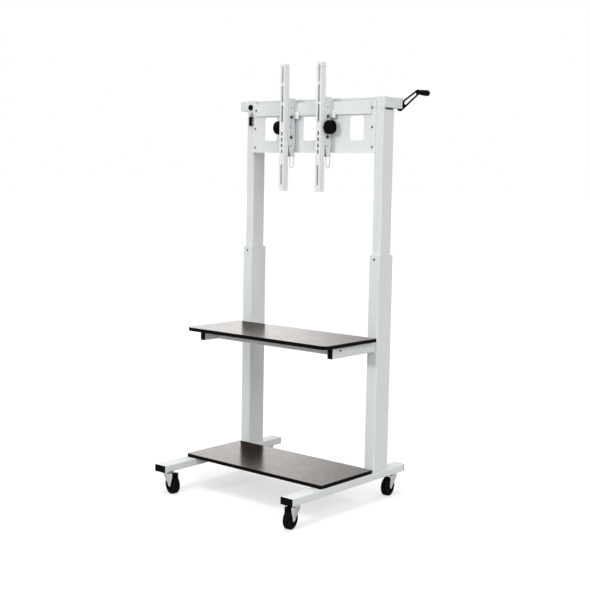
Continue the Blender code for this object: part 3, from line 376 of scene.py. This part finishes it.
# CAD nodes that stay: a finish each, and softened edges
kept = {
    "powderCoat": [
        "foot_left", "foot_right", "lower_column_left", "lower_column_right",
        "upper_column_left", "upper_column_right", "shelf_arm_left", "shelf_arm_right",
        "shelf_cross_rail", "cross_tube", "gear_housing_left", "gear_housing_right",
        "housing_cap_front", "housing_cap_rear", "head_cleat_left", "head_cleat_right",
        "tilt_bracket_left", "tilt_bracket_right",
    ],
    "powderCoatPlate": ["head_plate"],
    "powderCoatRail": ["screen_rail_left", "screen_rail_right"],
    "laminate": ["lower_shelf", "upper_shelf"],
    "blackPlastic": [
        "foot_cap_front_left", "foot_cap_front_right", "foot_cap_rear_left",
        "foot_cap_rear_right", "shelf_arm_cap_left", "shelf_arm_cap_right", "crank_arm",
    ],
    "whitePlastic": ["column_glide_left", "column_glide_right"],
    "zincPlate": [f"caster_mount_{name}" for name in casterNames] + ["lock_eye"],
    "plainSteel": [
        "lead_screw_left", "lead_screw_right", "lift_post_left", "lift_post_right",
        "cross_shaft", "release_pull_left", "release_pull_right",
    ],
}
edgeSoftening = {
    "laminate": 0.0012, "blackPlastic": 0.0008, "powderCoat": 0.0005, "powderCoatPlate": 0.0006,
}
unsoftened = ("tilt_bracket", "screen_rail", "crank_arm", "gear_housing_left", "upper_column")


def finishNode(node, look):
    piece = nodes[node]
    piece.data.materials.clear()
    piece.data.materials.append(looks[look])
    banded = look == "laminate"  # a board's edges and underside are plain black
    if banded:
        piece.data.materials.append(looks["edgeBand"])
    for polygon in piece.data.polygons:
        polygon.material_index = int(banded and polygon.normal.z < 0.7)
    weld = piece.modifiers.new("weld", "WELD")
    weld.merge_threshold = 1e-5
    if look in edgeSoftening and not node.startswith(unsoftened):
        soften = piece.modifiers.new("soften", "BEVEL")
        soften.width = edgeSoftening[look]
        soften.segments = 2
        soften.limit_method = "ANGLE"
        soften.angle_limit = math.radians(50)
        soften.harden_normals = False


for look, names in kept.items():
    for name in names:
        finishNode(name, look)
print("CAD nodes finished")

# Wheels: a grooved tyre on a dished core with webs
tyre = {
    "width": 0.022, "rounding": 0.0045, "rim": 0.0245, "chamfer": 0.0012,
    "grooveDepth": 0.0004, "grooveHalf": 0.0035,
}
core = {
    "lip": 0.0237, "dish": 0.0042, "hub": 0.0085, "bore": 0.0043, "proud": 0.0006, "steps": 48,
    "webs": 6, "webSection": (0.0016, 0.0030), "webShort": 0.003, "webRise": 0.0008,
    "webRounding": 0.0005,
}


def makeWheel(name):
    spin = joints[f"wheel_spin_{name}"]
    wheelBody = f"wheel_{name}"
    axis, centre = Vector(spin["axis"]), Vector(spin["pos_m"])
    half, edge, soft, rim = tyre["width"] / 2, centre.z, tyre["rounding"], tyre["rim"]
    turns = [math.radians(15 * k) for k in range(7)]
    shoulder = [(edge - soft + soft * math.sin(a), half - soft + soft * math.cos(a)) for a in turns]
    profile = [(rim, half - tyre["chamfer"]), (rim + tyre["chamfer"], half)] + shoulder
    groove = edge - tyre["grooveDepth"]
    profile += [(groove, tyre["grooveHalf"]), (groove, 0.0)]
    profile += [(r, -z) for r, z in reversed(profile[:-1])] + [profile[0]]
    rubber = aimed(lathe(profile, core["steps"]), axis, centre)
    replaced = f"caster_wheel_{name}"
    addPiece(f"tyre_{name}", rubber, wheelBody, "tyreRubber", replaced)

    lip, hub, bore, dish = core["lip"], core["hub"], core["bore"], half - core["dish"]
    proud = half + core["proud"]
    side = [
        (bore, proud), (hub - 0.001, proud), (hub, half - 0.0004), (hub + 0.0012, dish),
        (lip - 0.0035, dish), (lip - 0.0022, half - 0.0010), (lip, half - 0.0006),
        (lip + 0.0006, half - 0.0016),
    ]
    profile = side + [(r, -z) for r, z in reversed(side)] + [side[0]]
    shapes = [lathe(profile, core["steps"])]
    webSize = (lip - hub - core["webShort"], *core["webSection"])
    for face in (-1, 1):
        place = ((hub + lip) / 2, 0, face * (dish + core["webRise"]))
        for k in range(core["webs"]):
            web = roundedBox(webSize, place, core["webRounding"], 2)
            turn = Matrix.Rotation(math.tau * k / core["webs"], 3, "Z")
            bmesh.ops.rotate(web, cent=(0, 0, 0), matrix=turn, verts=web.verts)
            shapes.append(web)
    wheel = aimed(stack(*shapes), axis, centre)
    addPiece(f"wheel_core_{name}", wheel, wheelBody, "wheelCore")


def trailFrame(name, height):
    # Local X along the caster's trail, local Y up and local Z along its axle
    swivel = Vector(joints[f"swivel_turn_{name}"]["pos_m"])
    axle = Vector(joints[f"wheel_spin_{name}"]["pos_m"])
    along = Vector((axle.x - swivel.x, axle.y - swivel.y, 0))
    ahead = along.normalized()
    across = ahead.cross(Vector((0, 0, 1)))
    basis = Matrix((
        (ahead.x, 0, across.x, swivel.x),
        (ahead.y, 0, across.y, swivel.y),
        (0, 1, 0, height),
        (0, 0, 0, 1),
    ))
    return basis, along.length


# Forks: two legs with axle bolts, a crown plate, and a swivel race on it
fork = {
    "sheet": 0.0025, "inside": 0.025, "above": 0.0045, "front": 0.010, "skirt": 0.009,
    "tip": 0.0075, "behind": 0.004, "ear": 0.006, "earAbove": 0.0045, "legRounding": 0.0006,
    "crown": 0.019, "crownReach": 0.021, "crownRounding": 0.0009, "race": 0.0183,
    "raceHeight": 0.005, "raceSkirt": 0.0012, "bore": 0.0054, "bolt": 0.0046,
    "boltHeight": 0.0026, "steps": 40,
}


def makeFork(name, braked):
    axle = Vector(joints[f"wheel_spin_{name}"]["pos_m"])
    crownTop = 2 * axle.z + fork["above"]
    basis, trail = trailFrame(name, crownTop)
    sheet, outer, drop = fork["sheet"], fork["inside"] / 2 + fork["sheet"], crownTop - axle.z
    front, skirt, tip = fork["front"], fork["skirt"], fork["tip"]
    leg = [(-front, 0.0)]
    if braked:  # each leg has an ear that holds the pedal's pin
        pin = basis.inverted() @ Vector(joints[f"pedal_press_{name}"]["pos_m"])
        ear, earTop = fork["ear"], pin.y + fork["earAbove"]
        leg += [
            (pin.x - ear - 0.001, 0.0), (pin.x - ear + 0.002, earTop),
            (pin.x + ear - 0.002, earTop), (pin.x + ear, earTop - 0.002), (pin.x + ear, -skirt),
        ]
    else:
        leg += [(trail + fork["behind"], 0.0), (trail + fork["behind"], -skirt)]
    turns = [math.radians(10 - 22.5 * k) for k in range(9)]
    leg += [(trail + tip * math.cos(a), -drop + tip * math.sin(a)) for a in turns]
    leg.append((-front, -skirt))

    bolt, tall = fork["bolt"], fork["boltHeight"]
    dome = [(0, tall), (bolt * 0.55, tall), (bolt * 0.9, 0.0018), (bolt, 0.0005), (bolt, 0), (0, 0)]
    shapes = []
    for face, start, corners in ((-1, -outer, 24), (1, outer - sheet, 6)):  # a bolt head, a nut
        plate = flatSheet(leg, sheet, fork["legRounding"])
        bmesh.ops.translate(plate, vec=(0, 0, start), verts=plate.verts)
        head = aimed(lathe(dome, corners), (0, 0, face), (trail, -drop, face * outer))
        shapes += [plate, head]
    size = (fork["crownReach"] + front, sheet, 2 * outer)
    place = ((fork["crownReach"] - front) / 2, -sheet / 2, 0)
    shapes.append(roundedBox(size, place, fork["crownRounding"]))
    body = stack(*shapes)
    bmesh.ops.transform(body, matrix=basis, verts=body.verts)

    race, top, bore, crown = fork["race"], fork["raceHeight"], fork["bore"], fork["crown"]
    groove = race - fork["raceSkirt"]
    ring = [
        (bore, top), (race - 0.0008, top), (race, top - 0.0008), (race, fork["raceSkirt"]),
        (groove, 0.0010), (groove, 0.0001), (crown - 0.0006, 0.0), (crown, -0.0006),
        (crown, 0.0004 - sheet), (crown - 0.0004, -sheet), (bore, -sheet), (bore, top),
    ]
    collar = lathe(ring, fork["steps"])
    bmesh.ops.translate(collar, vec=basis.translation, verts=collar.verts)
    whole = stack(body, collar)
    addPiece(f"fork_{name}", whole, f"swivel_{name}", "zincPlate", f"caster_fork_{name}")


# Brake pedals: a wedge on its pin, with ribs along the toe
pedal = {
    "width": 0.0154, "reach": 0.0118, "heel": 0.004, "half": 0.0046, "crest": 0.005,
    "brow": 0.0012, "lip": 0.0056, "rounding": 0.0008,
    "rib": 0.0010, "ribs": 3, "firstRib": 0.0012, "pitch": 0.0026, "ribShort": 0.003,
}


def makePedal(name):
    pin = Vector(joints[f"pedal_press_{name}"]["pos_m"])
    basis = trailFrame(name, pin.z)[0]
    start = (basis.inverted() @ pin).x
    reach, width, heel, half = pedal["reach"], pedal["width"], pedal["heel"], pedal["half"]
    outline = [
        (-heel, half), (pedal["crest"], half), (reach, pedal["brow"]), (reach, -pedal["lip"]),
        (heel, -half), (-heel, -half),
    ]
    block = flatSheet([(start + x, z) for x, z in outline], width, pedal["rounding"])
    bmesh.ops.translate(block, vec=(0, 0, -width / 2), verts=block.verts)
    shapes = [block]
    rib = (pedal["rib"], pedal["rib"], width - pedal["ribShort"])
    for k in range(pedal["ribs"]):
        x = reach - pedal["firstRib"] - k * pedal["pitch"]
        z = pedal["brow"] + (reach - x) * 0.5
        shapes.append(roundedBox(rib, (start + x, z, 0), 0.0003, 2))
    body = stack(*shapes)
    bmesh.ops.transform(body, matrix=basis, verts=body.verts)
    pedalBody = f"pedal_{name}"
    addPiece(pedalBody, body, pedalBody, "blackPlastic", f"caster_pedal_{name}")


for name in casterNames:
    makeWheel(name)
    makeFork(name, name.startswith("front"))
    if name.startswith("front"):
        makePedal(name)
print("casters made")

# Screws: a domed head with a six-sided socket; the height and the socket are parts of the radius
screwHead = {"steps": 24, "height": 0.62, "socket": 0.46, "rise": 0.0002}


def makeScrew(name, centre, direction, radius, body, look="darkZinc"):
    height, socket = radius * screwHead["height"], radius * screwHead["socket"]
    rise = screwHead["rise"]
    turns = [math.radians(18 * k) for k in range(1, 4)]
    profile = [(radius * 0.96, -0.0003), (radius, rise)]
    profile += [(radius * math.cos(a), rise + (height - rise) * math.sin(a)) for a in turns]
    profile += [(socket * 1.15, height), (socket, height * 0.95), (socket * 0.95, height * 0.25)]
    profile.append((0, height * 0.2))
    head = lathe(profile, screwHead["steps"])
    for vertex in head.verts:
        distance = vertex.co.xy.length
        if 0 < distance < socket * 1.05:  # pull the socket's ring to six flats
            turn = math.atan2(vertex.co.y, vertex.co.x) % (math.pi / 3) - math.pi / 6
            vertex.co.xy *= math.cos(math.pi / 6) / math.cos(turn)
    addPiece(name, aimed(head, direction, centre), body, look)


plateLow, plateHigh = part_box("head_plate")
plateScrew = {
    "inset": 0.0140, "rises": (0.0200, 0.0890, 0.1560), "radius": 0.0046, "sheet": 0.0025,
    "railInset": 0.0065,
}
plateFace = plateHigh.y - plateScrew["sheet"]
plateCorners = [vertex.co for vertex in nodes["head_plate"].data.vertices]
railEnd = min(corner.x for corner in plateCorners if corner.y < plateLow.y + 0.001)
for side, edge, turn in (("left", plateLow.x, 1), ("right", plateHigh.x, -1)):
    for number, rise in enumerate(plateScrew["rises"], 1):
        centre = Vector((edge + turn * plateScrew["inset"], plateFace, plateLow.z + rise))
        if side == "left" and number == 3:  # this one goes through the rail's front
            centre.x, centre.y = railEnd + plateScrew["railInset"], plateLow.y
        name = f"plate_screw_{number}_{side}"
        makeScrew(name, centre, (0, -1, 0), plateScrew["radius"], "lift", "screwZinc")

columnScrew = {"drop": 0.0115, "radius": 0.0040}
for side in sideNames:
    low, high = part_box(f"lower_column_{side}")
    centre = ((low.x + high.x) / 2, low.y, high.z - columnScrew["drop"])
    makeScrew(f"column_screw_{side}", centre, (0, -1, 0), columnScrew["radius"], "base")

armScrew = {"fromFront": 0.041, "above": 0.006, "radius": 0.0038}
for side, sign in (("left", -1), ("right", 1)):
    low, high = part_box(f"shelf_arm_{side}")
    x = low.x if sign < 0 else high.x
    centre = (x, low.y + armScrew["fromFront"], (low.z + high.z) / 2 + armScrew["above"])
    makeScrew(f"arm_screw_{side}", centre, (sign, 0, 0), armScrew["radius"], "base")
print("screws made")

# Lock knobs: fluted rim, dished face, domed cap
knob = {
    "radius": 0.0245, "thickness": 0.025, "neck": 0.010, "gap": 0.0003,
    "flutes": 30, "fluteDepth": 0.0007, "stepsPerFlute": 4,
    # radius, and how far below the top
    "cap": (
        (0, 0.0030), (0.0075, 0.0030), (0.0090, 0.0042), (0.0185, 0.0042), (0.0205, 0.0006),
        (0.0225, 0),
    ),
    # how far inside the full radius, and how far below the top or above the neck
    "rim": ((0.0010, 0.0012), (0, 0.0034), (0, 0.0066), (0.0016, 0.0078), (0, 0.0090)),
    "skirt": ((0, 0.0042), (0.0012, 0.0016), (0.0040, 0.0008)),
}


def makeKnob(side, sign):
    centre = Vector(joints[f"knob_turn_{side}"]["pos_m"])
    low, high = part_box(f"tilt_knob_{side}")
    cheekLow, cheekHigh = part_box(f"tilt_bracket_{side}")
    base = cheekHigh.x + knob["gap"] if sign > 0 else cheekLow.x - knob["gap"]
    top = abs((high.x if sign > 0 else low.x) - base)
    start = top - knob["thickness"]
    radius, neck = knob["radius"], knob["neck"]
    profile = [(r, top - below) for r, below in knob["cap"]]
    profile += [(radius - inset, top - below) for inset, below in knob["rim"]]
    profile += [(radius - inset, start + above) for inset, above in knob["skirt"]]
    profile += [(neck + 0.002, start + 0.0008), (neck, start + 0.0004), (neck, 0.0), (0, 0.0)]
    body = lathe(profile, knob["flutes"] * knob["stepsPerFlute"])
    for vertex in body.verts:  # only the rim's wall is fluted
        outward = vertex.co.xy.length
        if outward > radius - 0.0004 and start + 0.0040 < vertex.co.z < top - 0.0020:
            wave = math.cos(knob["flutes"] * math.atan2(vertex.co.y, vertex.co.x))
            vertex.co.xy *= 1 - knob["fluteDepth"] * (1 - wave) / 2 / radius
    aimed(body, (sign, 0, 0), (base, centre.y, centre.z))
    name = f"knob_{side}"
    addPiece(name, body, name, "blackPlastic", f"tilt_knob_{side}")


makeKnob("left", -1)
makeKnob("right", 1)
print("knobs made")

# Crank grip, which swells towards its end, and its end screw
grip = {
    "radius": 0.0104, "narrow": 0.0080, "short": 0.007, "bore": 0.0044, "rings": 8, "steps": 40,
    "screwRadius": 0.0042, "screwSink": 0.0012,
}
low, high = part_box("crank_grip")
gripStart = Vector(((low.x + high.x) / 2, low.y, (low.z + high.z) / 2))
gripLength = high.y - low.y - grip["short"]
bore, narrow, rings = grip["bore"], grip["narrow"], grip["rings"]
profile = [(bore, 0.0), (narrow - 0.0010, 0.0), (narrow, 0.0010)]
for k in range(rings + 1):
    swell = (grip["radius"] - narrow) * math.sin(math.pi / 2 * k / rings)
    profile.append((narrow + swell, 0.002 + (gripLength - 0.006) * k / rings))
profile += [
    (0.0099, gripLength - 0.0018), (0.0084, gripLength - 0.0004), (0.0064, gripLength),
    (bore, gripLength - 0.0004), (bore, 0.0),
]
gripBody = lathe(profile, grip["steps"])
turned = Matrix.Translation(gripStart) @ Matrix.Rotation(-math.pi / 2, 4, "X")
bmesh.ops.transform(gripBody, matrix=turned, verts=gripBody.verts)
addPiece("grip", gripBody, "grip", "blackGrip", "crank_grip")
gripEnd = (gripStart.x, gripStart.y + gripLength - grip["screwSink"], gripStart.z)
makeScrew("grip_screw", gripEnd, (0, 1, 0), grip["screwRadius"], "crank")
print("crank dressed")

# Plug on the left housing: a disc with a raised ring
plug = {"face": 0.0052, "ring": 0.0060, "edge": 0.0030, "start": 0.0003, "steps": 40}
low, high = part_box("housing_plug")
centre, radius = (low + high) / 2, (high.x - low.x) / 2
profile = [
    (0, plug["face"]), (radius - 0.0040, plug["face"]), (radius - 0.0026, plug["ring"]),
    (radius - 0.0010, plug["face"]), (radius, plug["edge"]), (radius, plug["start"]),
    (0, plug["start"]),
]
plugFoot = (centre.x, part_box("gear_housing_left")[0].y, centre.z)
disc = aimed(lathe(profile, plug["steps"]), (0, -1, 0), plugFoot)
addPiece("plug", disc, "lift", "blackPlastic", "housing_plug")

# Padlock: a case with four plain number wheels, and its bow
lock = {
    "rounding": 0.0022, "wheels": 4, "wheelRadius": 0.0038, "wheelHalf": 0.0022,
    "treadHalf": 0.0014, "chamfer": 0.0006, "wheelInset": 0.0034, "firstWheel": 0.20,
    "wheelPitch": 0.17, "wheelSteps": 20,
}
low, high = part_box("padlock_body")
centre, size = (low + high) / 2, high - low
case = roundedBox(size, centre, lock["rounding"], 4)
addPiece("lock_case", case, "padlock", "blackPlastic", "padlock_body")
radius, half, tread = lock["wheelRadius"], lock["wheelHalf"], lock["treadHalf"]
rim = radius - lock["chamfer"]
profile = [(0, half), (rim, half), (radius, tread), (radius, -tread), (rim, -half), (0, -half)]
dials = []
for k in range(lock["wheels"]):
    z = centre.z + size.z * (lock["firstWheel"] - lock["wheelPitch"] * k)
    place = (centre.x + size.x / 2 - lock["wheelInset"], centre.y, z)
    dials.append(aimed(lathe(profile, lock["wheelSteps"]), (0, 0, 1), place))
addPiece("lock_dials", stack(*dials), "padlock", "dialPlastic")

bow = {"radius": 0.0015, "sink": 0.0005, "steps": 16}
low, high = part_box("padlock_shackle")
centre, spread = (low + high) / 2, (high.x - low.x) / 2 - bow["radius"]
seat, top = low.z + bow["sink"], high.z - bow["radius"] - spread
turns = [math.pi * k / bow["steps"] for k in range(bow["steps"] + 1)]
arch = [(spread * math.cos(a), top + spread * math.sin(a)) for a in turns]
route = [(spread, seat)] + arch + [(-spread, seat)]
curve = bpy.data.curves.new("lock_bow", "CURVE")
curve.dimensions = "3D"
curve.bevel_depth = bow["radius"]
curve.bevel_resolution = 4
curve.use_fill_caps = True
spline = curve.splines.new("POLY")
spline.points.add(len(route) - 1)
for point, (x, z) in zip(spline.points, route):
    point.co = (centre.x + x, centre.y, z, 1)
curve.materials.append(looks["plainSteel"])
bowPiece = linked("lock_bow", curve)
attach(bowPiece, "padlock")
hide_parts("padlock_shackle")
print("padlock made")

# Tilt brackets: bolts, small screws, dark strips of painted shade where the slits are, a white clip
# and a dark tab on each
trim = {
    "back": 0.022, "boltRises": (0.142, 0.069), "boltRadius": 0.0062, "boltHeight": 0.0045,
    "screwRises": (0.174, 0.037), "screwRadius": 0.0030,
    "slits": ((0.123, 0.025), (0.085, 0.014)), "slitSection": (0.0004, 0.0014),
    "clipSize": (0.0215, 0.006, 0.024), "clipRise": 0.148, "clipGap": 0.0015,
    "clipAhead": 0.0012, "clipRounding": 0.0012,
    "tabSize": (0.0095, 0.006, 0.0145), "tabBack": 0.0225, "tabShift": 0.0008,
    "tabRounding": 0.0008,
}


def makeBracketTrim(side):
    low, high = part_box(f"tilt_bracket_{side}")
    body = f"bracket_{side}"
    cheek, y = high.x, low.y + trim["back"]
    radius, tall = trim["boltRadius"], trim["boltHeight"]
    profile = [(0, tall), (radius * 0.74, tall), (radius * 0.94, 0.0038), (radius, 0.0026)]
    profile += [(radius, 0), (0, 0)]
    for number, rise in enumerate(trim["boltRises"], 1):
        bolt = aimed(lathe(profile, 6), (1, 0, 0), (cheek, y, low.z + rise))
        addPiece(f"bracket_bolt_{number}_{side}", bolt, body, "darkZinc")
    for number, rise in enumerate(trim["screwRises"], 1):
        name, place = f"bracket_screw_{number}_{side}", (cheek, y, low.z + rise)
        makeScrew(name, place, (1, 0, 0), trim["screwRadius"], body, "screwZinc")
    # the slits are not cut: dark strips on the cheek are painted shade for the inside of each slit
    slits = [
        roundedBox((*trim["slitSection"], length), (cheek, y, low.z + rise), 0.00015, 1)
        for rise, length in trim["slits"]
    ]
    addPiece(f"bracket_slit_shade_{side}", stack(*slits), body, "greyPlastic")
    size = trim["clipSize"]
    place = (
        cheek + trim["clipGap"] + size[0] / 2,
        plateLow.y - trim["clipAhead"] - size[1] / 2,
        low.z + trim["clipRise"],
    )
    clip = roundedBox(size, place, trim["clipRounding"])
    addPiece(f"bracket_clip_{side}", clip, body, "clipPlastic")
    size = trim["tabSize"]
    x = (low.x + high.x) / 2 + trim["tabShift"]
    place = (x, low.y + trim["tabBack"], low.z + size[2] / 2)
    tab = roundedBox(size, place, trim["tabRounding"], 2)
    addPiece(f"bracket_tab_{side}", tab, body, "greyPlastic")


for side in sideNames:
    makeBracketTrim(side)
print("brackets dressed")

# Floor: white to the camera, and lifted most of the way so that its shadows stay soft
ground = {"half": 60.0, "bounce": 0.45, "lift": 0.63}
floorShape = bmesh.new()
bmesh.ops.create_grid(floorShape, x_segments=1, y_segments=1, size=ground["half"])
floor = linked("floor", meshOf("floor", floorShape))
floorTree = newLook("paleFloor")
floor.data.materials.append(looks["paleFloor"])
shown = floorTree.node("ShaderNodeLightPath", output="Is Camera Ray")
floorTree.set(
    Base_Color=floorTree.blendColour(shown, grey(ground["bounce"]), grey(1)),
    Roughness=0.9,
    Specular_IOR_Level=0.0,
)
plainFloor = Wire(floorTree.shader.outputs[0], floorTree)
glow = floorTree.node("ShaderNodeEmission", {}, {"Color": grey(1), "Strength": 1.0})
mixed = {0: shown * ground["lift"], 1: plainFloor, 2: glow}
lifted = floorTree.node("ShaderNodeMixShader", {}, mixed)
floorTree.links.new(lifted.socket, floorTree.all["Material Output"].inputs[0])

# Painted shade in reflections: dark, faintly glowing cards round the left column's foot and above
# the upper shelf, seen only in reflections, stand for the column's shaded lower part as the shelves
# mirror it
reflectedShade = {
    "gap": 0.001, "reaches": {"lower_shelf": 0.115, "upper_shelf": 0.068},
    "glows": (0.02, 0.13), "divide": 0.35,  # the glow below and above this height
}
reflectedShadeShape = bmesh.new()
front, flank = leftLow.y - reflectedShade["gap"], leftHigh.x + reflectedShade["gap"]
route = ((leftLow.x, front), (flank, front), (flank, leftHigh.y))
for shelf, reach in reflectedShade["reaches"].items():
    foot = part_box(shelf)[1].z
    for (x0, y0), (x1, y1) in zip(route, route[1:]):
        corners = ((x0, y0, foot), (x1, y1, foot), (x1, y1, foot + reach), (x0, y0, foot + reach))
        reflectedShadeShape.faces.new([reflectedShadeShape.verts.new(corner) for corner in corners])
card = linked("reflectedShade", meshOf("reflectedShade", reflectedShadeShape))
card.visible_camera = card.visible_diffuse = False
card.visible_transmission = card.visible_shadow = False
reflectedShadeTree = newLook("paintedShadeCard")
card.data.materials.append(looks["paintedShadeCard"])
facing = 1 - reflectedShadeTree.node("ShaderNodeNewGeometry", output="Backfacing")
height = reflectedShadeTree.node("ShaderNodeSeparateXYZ", {}, {0: reflectedShadeTree.place()}, 2)
below, above = (grey(value) for value in reflectedShade["glows"])
shade = reflectedShadeTree.blendColour(height.step(reflectedShade["divide"], 0.05), below, above)
# the painted reflection: a dim glow, darker low down near each shelf
dark = reflectedShadeTree.node("ShaderNodeEmission", {}, {"Color": shade, "Strength": 1.0})
clear = reflectedShadeTree.node("ShaderNodeBsdfTransparent")
oneSided = reflectedShadeTree.node("ShaderNodeMixShader", {}, {0: facing, 1: clear, 2: dark})
reflectedShadeTree.links.new(oneSided.socket, reflectedShadeTree.all["Material Output"].inputs[0])

# World: an even sky for light, white for the camera, and a white that varies for reflections
sky = {
    "light": 0.33, "fadeTowards": (0.762, 0.647, 0.0), "fadeSpread": 1.6, "fadeShift": 0.4,
    "sides": ((0.0, 1.0), (0.39, 1.0), (0.50, 0.38), (0.70, 1.0)),
    "heights": ((0.0, 1.12), (0.175, 1.12), (0.225, 2.0), (0.275, 0.52), (0.50, 0.75)),
}
world = bpy.data.worlds.new("studio")
bpy.context.scene.world = world
skyTree = Tree(world)
direction = skyTree.node("ShaderNodeTexCoord", output="Generated")
towards = {0: direction, 1: sky["fadeTowards"]}
sideways = skyTree.node("ShaderNodeVectorMath", {"operation": "DOT_PRODUCT"}, towards, "Value")
upwards = skyTree.node("ShaderNodeSeparateXYZ", {}, {0: direction}, 2)
acrossRamp = sideways * sky["fadeSpread"] + sky["fadeShift"]
fades = {}
for key, along in (("sides", acrossRamp), ("heights", upwards)):
    stops = [(position, grey(value)) for position, value in sky[key]]
    fades[key] = skyTree.node("ShaderNodeValToRGB", {"stops": stops}, {0: along})
product = {"data_type": "RGBA", "blend_type": "MULTIPLY"}
fade = skyTree.node("ShaderNodeMix", product, {0: 1.0, 6: fades["sides"], 7: fades["heights"]}, 2)
mirrored = skyTree.node("ShaderNodeLightPath", output="Is Glossy Ray")
seen = skyTree.node("ShaderNodeLightPath", output="Is Camera Ray").atLeast(mirrored)
tint = skyTree.blendColour(mirrored, grey(1), fade)
plain = skyTree.node("ShaderNodeBackground", {}, {"Color": grey(1), "Strength": sky["light"]})
backdrop = skyTree.node("ShaderNodeBackground", {}, {"Color": tint, "Strength": 1.0})
skyMix = skyTree.node("ShaderNodeMixShader", {}, {0: seen, 1: plain, 2: backdrop})
skyTree.links.new(skyMix.socket, skyTree.all["World Output"].inputs[0])

# Soft suns above, high in front and to the right, and a sharper key from the front left
lamps = {
    "topSoft": {"towards": (0.0, 0.05, -1.0), "spread": 30, "strength": 2.00},
    "frontSoft": {"towards": (0.05, 0.84, -0.54), "spread": 50, "strength": 0.12},
    "rightSoft": {"towards": (-0.76, 0.42, -0.49), "spread": 50, "strength": 1.60},
    "key": {"towards": (0.30, 0.91, -0.28), "spread": 5, "strength": 1.10},
}
for name, lamp in lamps.items():
    data = bpy.data.lights.new(name, "SUN")
    data.angle = math.radians(lamp["spread"])
    data.energy = lamp["strength"]
    light = linked(name, data)
    light.rotation_euler = Vector(lamp["towards"]).to_track_quat("-Z", "Y").to_euler()
    light.visible_glossy = False  # the world alone shows in gloss, so no view gets a glare

# Camera: solved from the photograph, with its focal length in pixels of the frame
view = {
    "place": (2.6454, -3.2249, 1.1562), "azimuth": 40.335, "pitch": 6.0918, "roll": 1.0136,
    "focal": 1135.1, "frame": 590, "sensor": 36.0,
}
cameraData = bpy.data.cameras.new("camera")
cameraData.sensor_width = view["sensor"]
cameraData.lens = view["focal"] * view["sensor"] / view["frame"]
camera = linked("camera", cameraData)
azimuth, pitch, roll = (math.radians(view[key]) for key in ("azimuth", "pitch", "roll"))
ahead = Vector((
    -math.sin(azimuth) * math.cos(pitch),
    math.cos(azimuth) * math.cos(pitch),
    -math.sin(pitch),
))
level = Vector((math.cos(azimuth), math.sin(azimuth), 0))
upright = level.cross(ahead)
right = level * math.cos(roll) + upright * math.sin(roll)
up = upright * math.cos(roll) - level * math.sin(roll)
camera.matrix_world = Matrix((
    (right.x, up.x, -ahead.x, view["place"][0] + midPoint.x),
    (right.y, up.y, -ahead.y, view["place"][1] + midPoint.y),
    (right.z, up.z, -ahead.z, view["place"][2]),
    (0, 0, 0, 1),
))
bpy.context.scene.camera = camera
bpy.context.scene.view_settings.view_transform = "Standard"
print("stage set")
